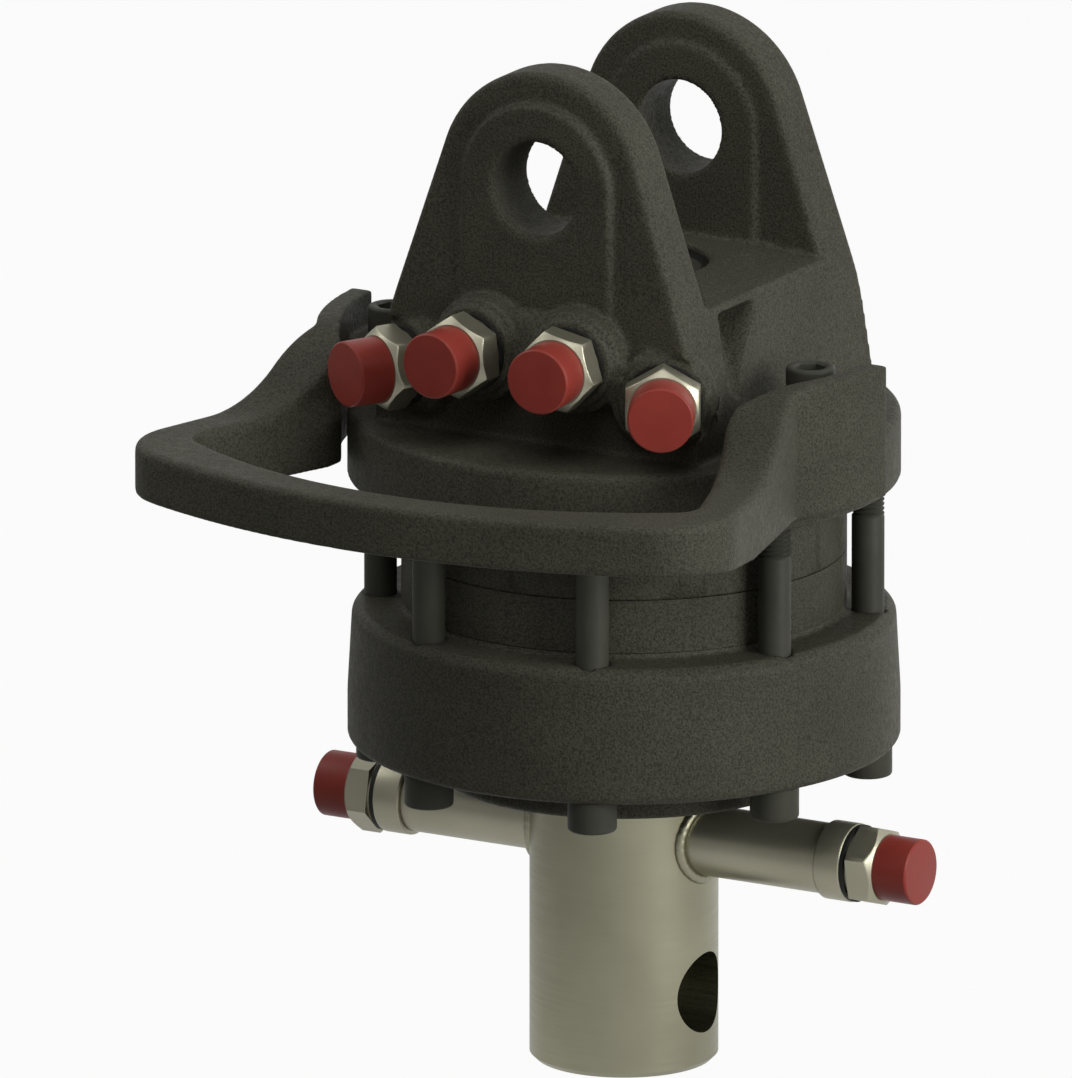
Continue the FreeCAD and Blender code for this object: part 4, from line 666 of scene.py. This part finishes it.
# Floor, lamps and the world. Both look white to the camera, the floor keeps part of the object's
# shadow, and reflections of either are brighter on the right, where the window is
brightSide = (0.87, 0.5, 0.0)
floorLook = {"half": 8.0, "matt": "7a7a78", "glowShare": 0.9, "glow": 1.06, "dimGlow": 0.3,
             "dimFrom": -0.6, "brightFrom": 0.15}


def paleFloor():
    material, tree = newFinish("pale floor")
    path = addNode(tree, "ShaderNodeLightPath")
    seen = addNode(tree, "ShaderNodeMath", {"operation": "MAXIMUM"}, {
        0: path.outputs["Is Camera Ray"], 1: path.outputs["Is Glossy Ray"]})
    seen = addNode(tree, "ShaderNodeMath", {"operation": "MAXIMUM"}, {
        0: seen.outputs[0], 1: path.outputs["Is Transmission Ray"]})
    share = addNode(tree, "ShaderNodeMath", {"operation": "MULTIPLY"}, {
        0: seen.outputs[0], 1: floorLook["glowShare"]})
    matt = addNode(tree, "ShaderNodeBsdfDiffuse", None, {"Color": linear(floorLook["matt"])})
    side = addNode(tree, "ShaderNodeVectorMath", {"operation": "DOT_PRODUCT"}, {
        0: objectPlace(tree), 1: brightSide})
    mirror = addNode(tree, "ShaderNodeMapRange", None, {
        "Value": side.outputs["Value"], "From Min": floorLook["dimFrom"],
        "From Max": floorLook["brightFrom"], "To Min": floorLook["dimGlow"],
        "To Max": floorLook["glow"]})
    level = addNode(tree, "ShaderNodeMix", {"data_type": "FLOAT"}, {
        "Factor": path.outputs["Is Glossy Ray"], "A": floorLook["glow"],
        "B": mirror.outputs["Result"]})
    glow = addNode(tree, "ShaderNodeEmission", None, {
        "Color": linear("ffffff"), "Strength": level.outputs["Result"]})
    mix = addNode(tree, "ShaderNodeMixShader", None, {
        0: share.outputs[0], 1: matt.outputs[0], 2: glow.outputs[0]})
    addNode(tree, "ShaderNodeOutputMaterial", None, {"Surface": mix.outputs[0]})
    return material


half, floorLevel = floorLook["half"], firstBounds[0].z
floorMesh = bpy.data.meshes.new("floor")
floorMesh.from_pydata([(-half, -half, floorLevel), (half, -half, floorLevel),
                       (half, half, floorLevel), (-half, half, floorLevel)], [], [(0, 1, 2, 3)])
floorMesh.materials.append(paleFloor())
floor = bpy.data.objects.new("floor", floorMesh)
bpy.context.scene.collection.objects.link(floor)

worldLook = {"matt": 0.05, "mattOverhead": 0.3, "mirror": 1.0, "dimMirror": 0.3, "dimFrom": -1.0,
             "brightFrom": 0.6}
world = bpy.data.worlds.new("studio")
bpy.context.scene.world = world
world.use_nodes = True
worldTree = world.node_tree
worldTree.nodes.clear()
worldPath = addNode(worldTree, "ShaderNodeLightPath")
worldSeen = addNode(worldTree, "ShaderNodeMath", {"operation": "MAXIMUM"}, {
    0: worldPath.outputs["Is Camera Ray"], 1: worldPath.outputs["Is Transmission Ray"]})
worldPlace = addNode(worldTree, "ShaderNodeTexCoord").outputs["Generated"]
worldSide = addNode(worldTree, "ShaderNodeVectorMath", {"operation": "DOT_PRODUCT"}, {
    0: worldPlace, 1: brightSide})
worldMirror = addNode(worldTree, "ShaderNodeMapRange", None, {
    "Value": worldSide.outputs["Value"], "From Min": worldLook["dimFrom"],
    "From Max": worldLook["brightFrom"], "To Min": worldLook["dimMirror"],
    "To Max": worldLook["mirror"]})
worldHeight = addNode(worldTree, "ShaderNodeSeparateXYZ", None, {"Vector": worldPlace})
worldMatt = addNode(worldTree, "ShaderNodeMapRange", None, {
    "Value": worldHeight.outputs["Z"], "From Min": 0.0, "From Max": 1.0,
    "To Min": worldLook["matt"], "To Max": worldLook["mattOverhead"]})
worldLevel = addNode(worldTree, "ShaderNodeMix", {"data_type": "FLOAT"}, {
    "Factor": worldPath.outputs["Is Glossy Ray"], "A": worldMatt.outputs["Result"],
    "B": worldMirror.outputs["Result"]})
worldLevel = addNode(worldTree, "ShaderNodeMix", {"data_type": "FLOAT"}, {
    "Factor": worldSeen.outputs[0], "A": worldLevel.outputs["Result"], "B": 1.0})
worldGlow = addNode(worldTree, "ShaderNodeBackground", None, {
    "Color": linear("ffffff"), "Strength": worldLevel.outputs["Result"]})
addNode(worldTree, "ShaderNodeOutputWorld", None, {"Surface": worldGlow.outputs[0]})

objectMiddle = Vector((0, -0.03, -0.15))


def addLamp(name, offset, power, width):
    lamp = bpy.data.lights.new(name, "AREA")
    lamp.energy = power
    lamp.size = width
    holder = bpy.data.objects.new(name, lamp)
    holder.location = objectMiddle + Vector(offset)
    holder.rotation_mode = "QUATERNION"
    holder.rotation_quaternion = Vector(offset).to_track_quat("Z", "Y")
    bpy.context.scene.collection.objects.link(holder)


# Offset from the object's middle in metres, power in watts and width in metres
lamps = {
    "window on the right": ((1.7, -0.2, 0.5), 19.0, 0.9),
    "window on the left": ((-1.4, -0.3, 1.3), 6.8, 1.0),
    "ceiling in front": ((0.4, -1.1, 1.5), 5.4, 0.9),
}
for name, (offset, power, width) in lamps.items():
    addLamp(name, offset, power, width)

print("lamps:", len(lamps))

# Camera: a very long lens far away, as the photograph has almost no perspective. Angles in degrees,
# lens and sensor in millimetres; frameHeight is how much of the object's plane fills the frame, and
# aimRight and aimUp are how far the frame's middle lies from the link pin's middle, in metres
view = {"azimuth": 30, "elevation": 15, "lens": 1600.0, "sensor": 36.0, "frameHeight": 0.3917,
        "aimRight": -0.03209, "aimUp": -0.1412}
azimuth, elevation = math.radians(view["azimuth"]), math.radians(view["elevation"])
back = Vector((math.sin(azimuth) * math.cos(elevation), -math.cos(azimuth) * math.cos(elevation),
               math.sin(elevation)))
right = Vector((math.cos(azimuth), math.sin(azimuth), 0))
aim = right * view["aimRight"] + back.cross(right) * view["aimUp"]
cameraData = bpy.data.cameras.new("camera")
cameraData.lens = view["lens"]
cameraData.sensor_width = view["sensor"]
cameraData.clip_start, cameraData.clip_end = 0.1, 60.0
camera = bpy.data.objects.new("camera", cameraData)
camera.rotation_mode = "QUATERNION"
camera.rotation_quaternion = (-back).to_track_quat("-Z", "Y")
camera.location = aim + back * (view["frameHeight"] * view["lens"] / view["sensor"])
bpy.context.scene.collection.objects.link(camera)
bpy.context.scene.camera = camera

bpy.context.scene.view_settings.view_transform = "Standard"
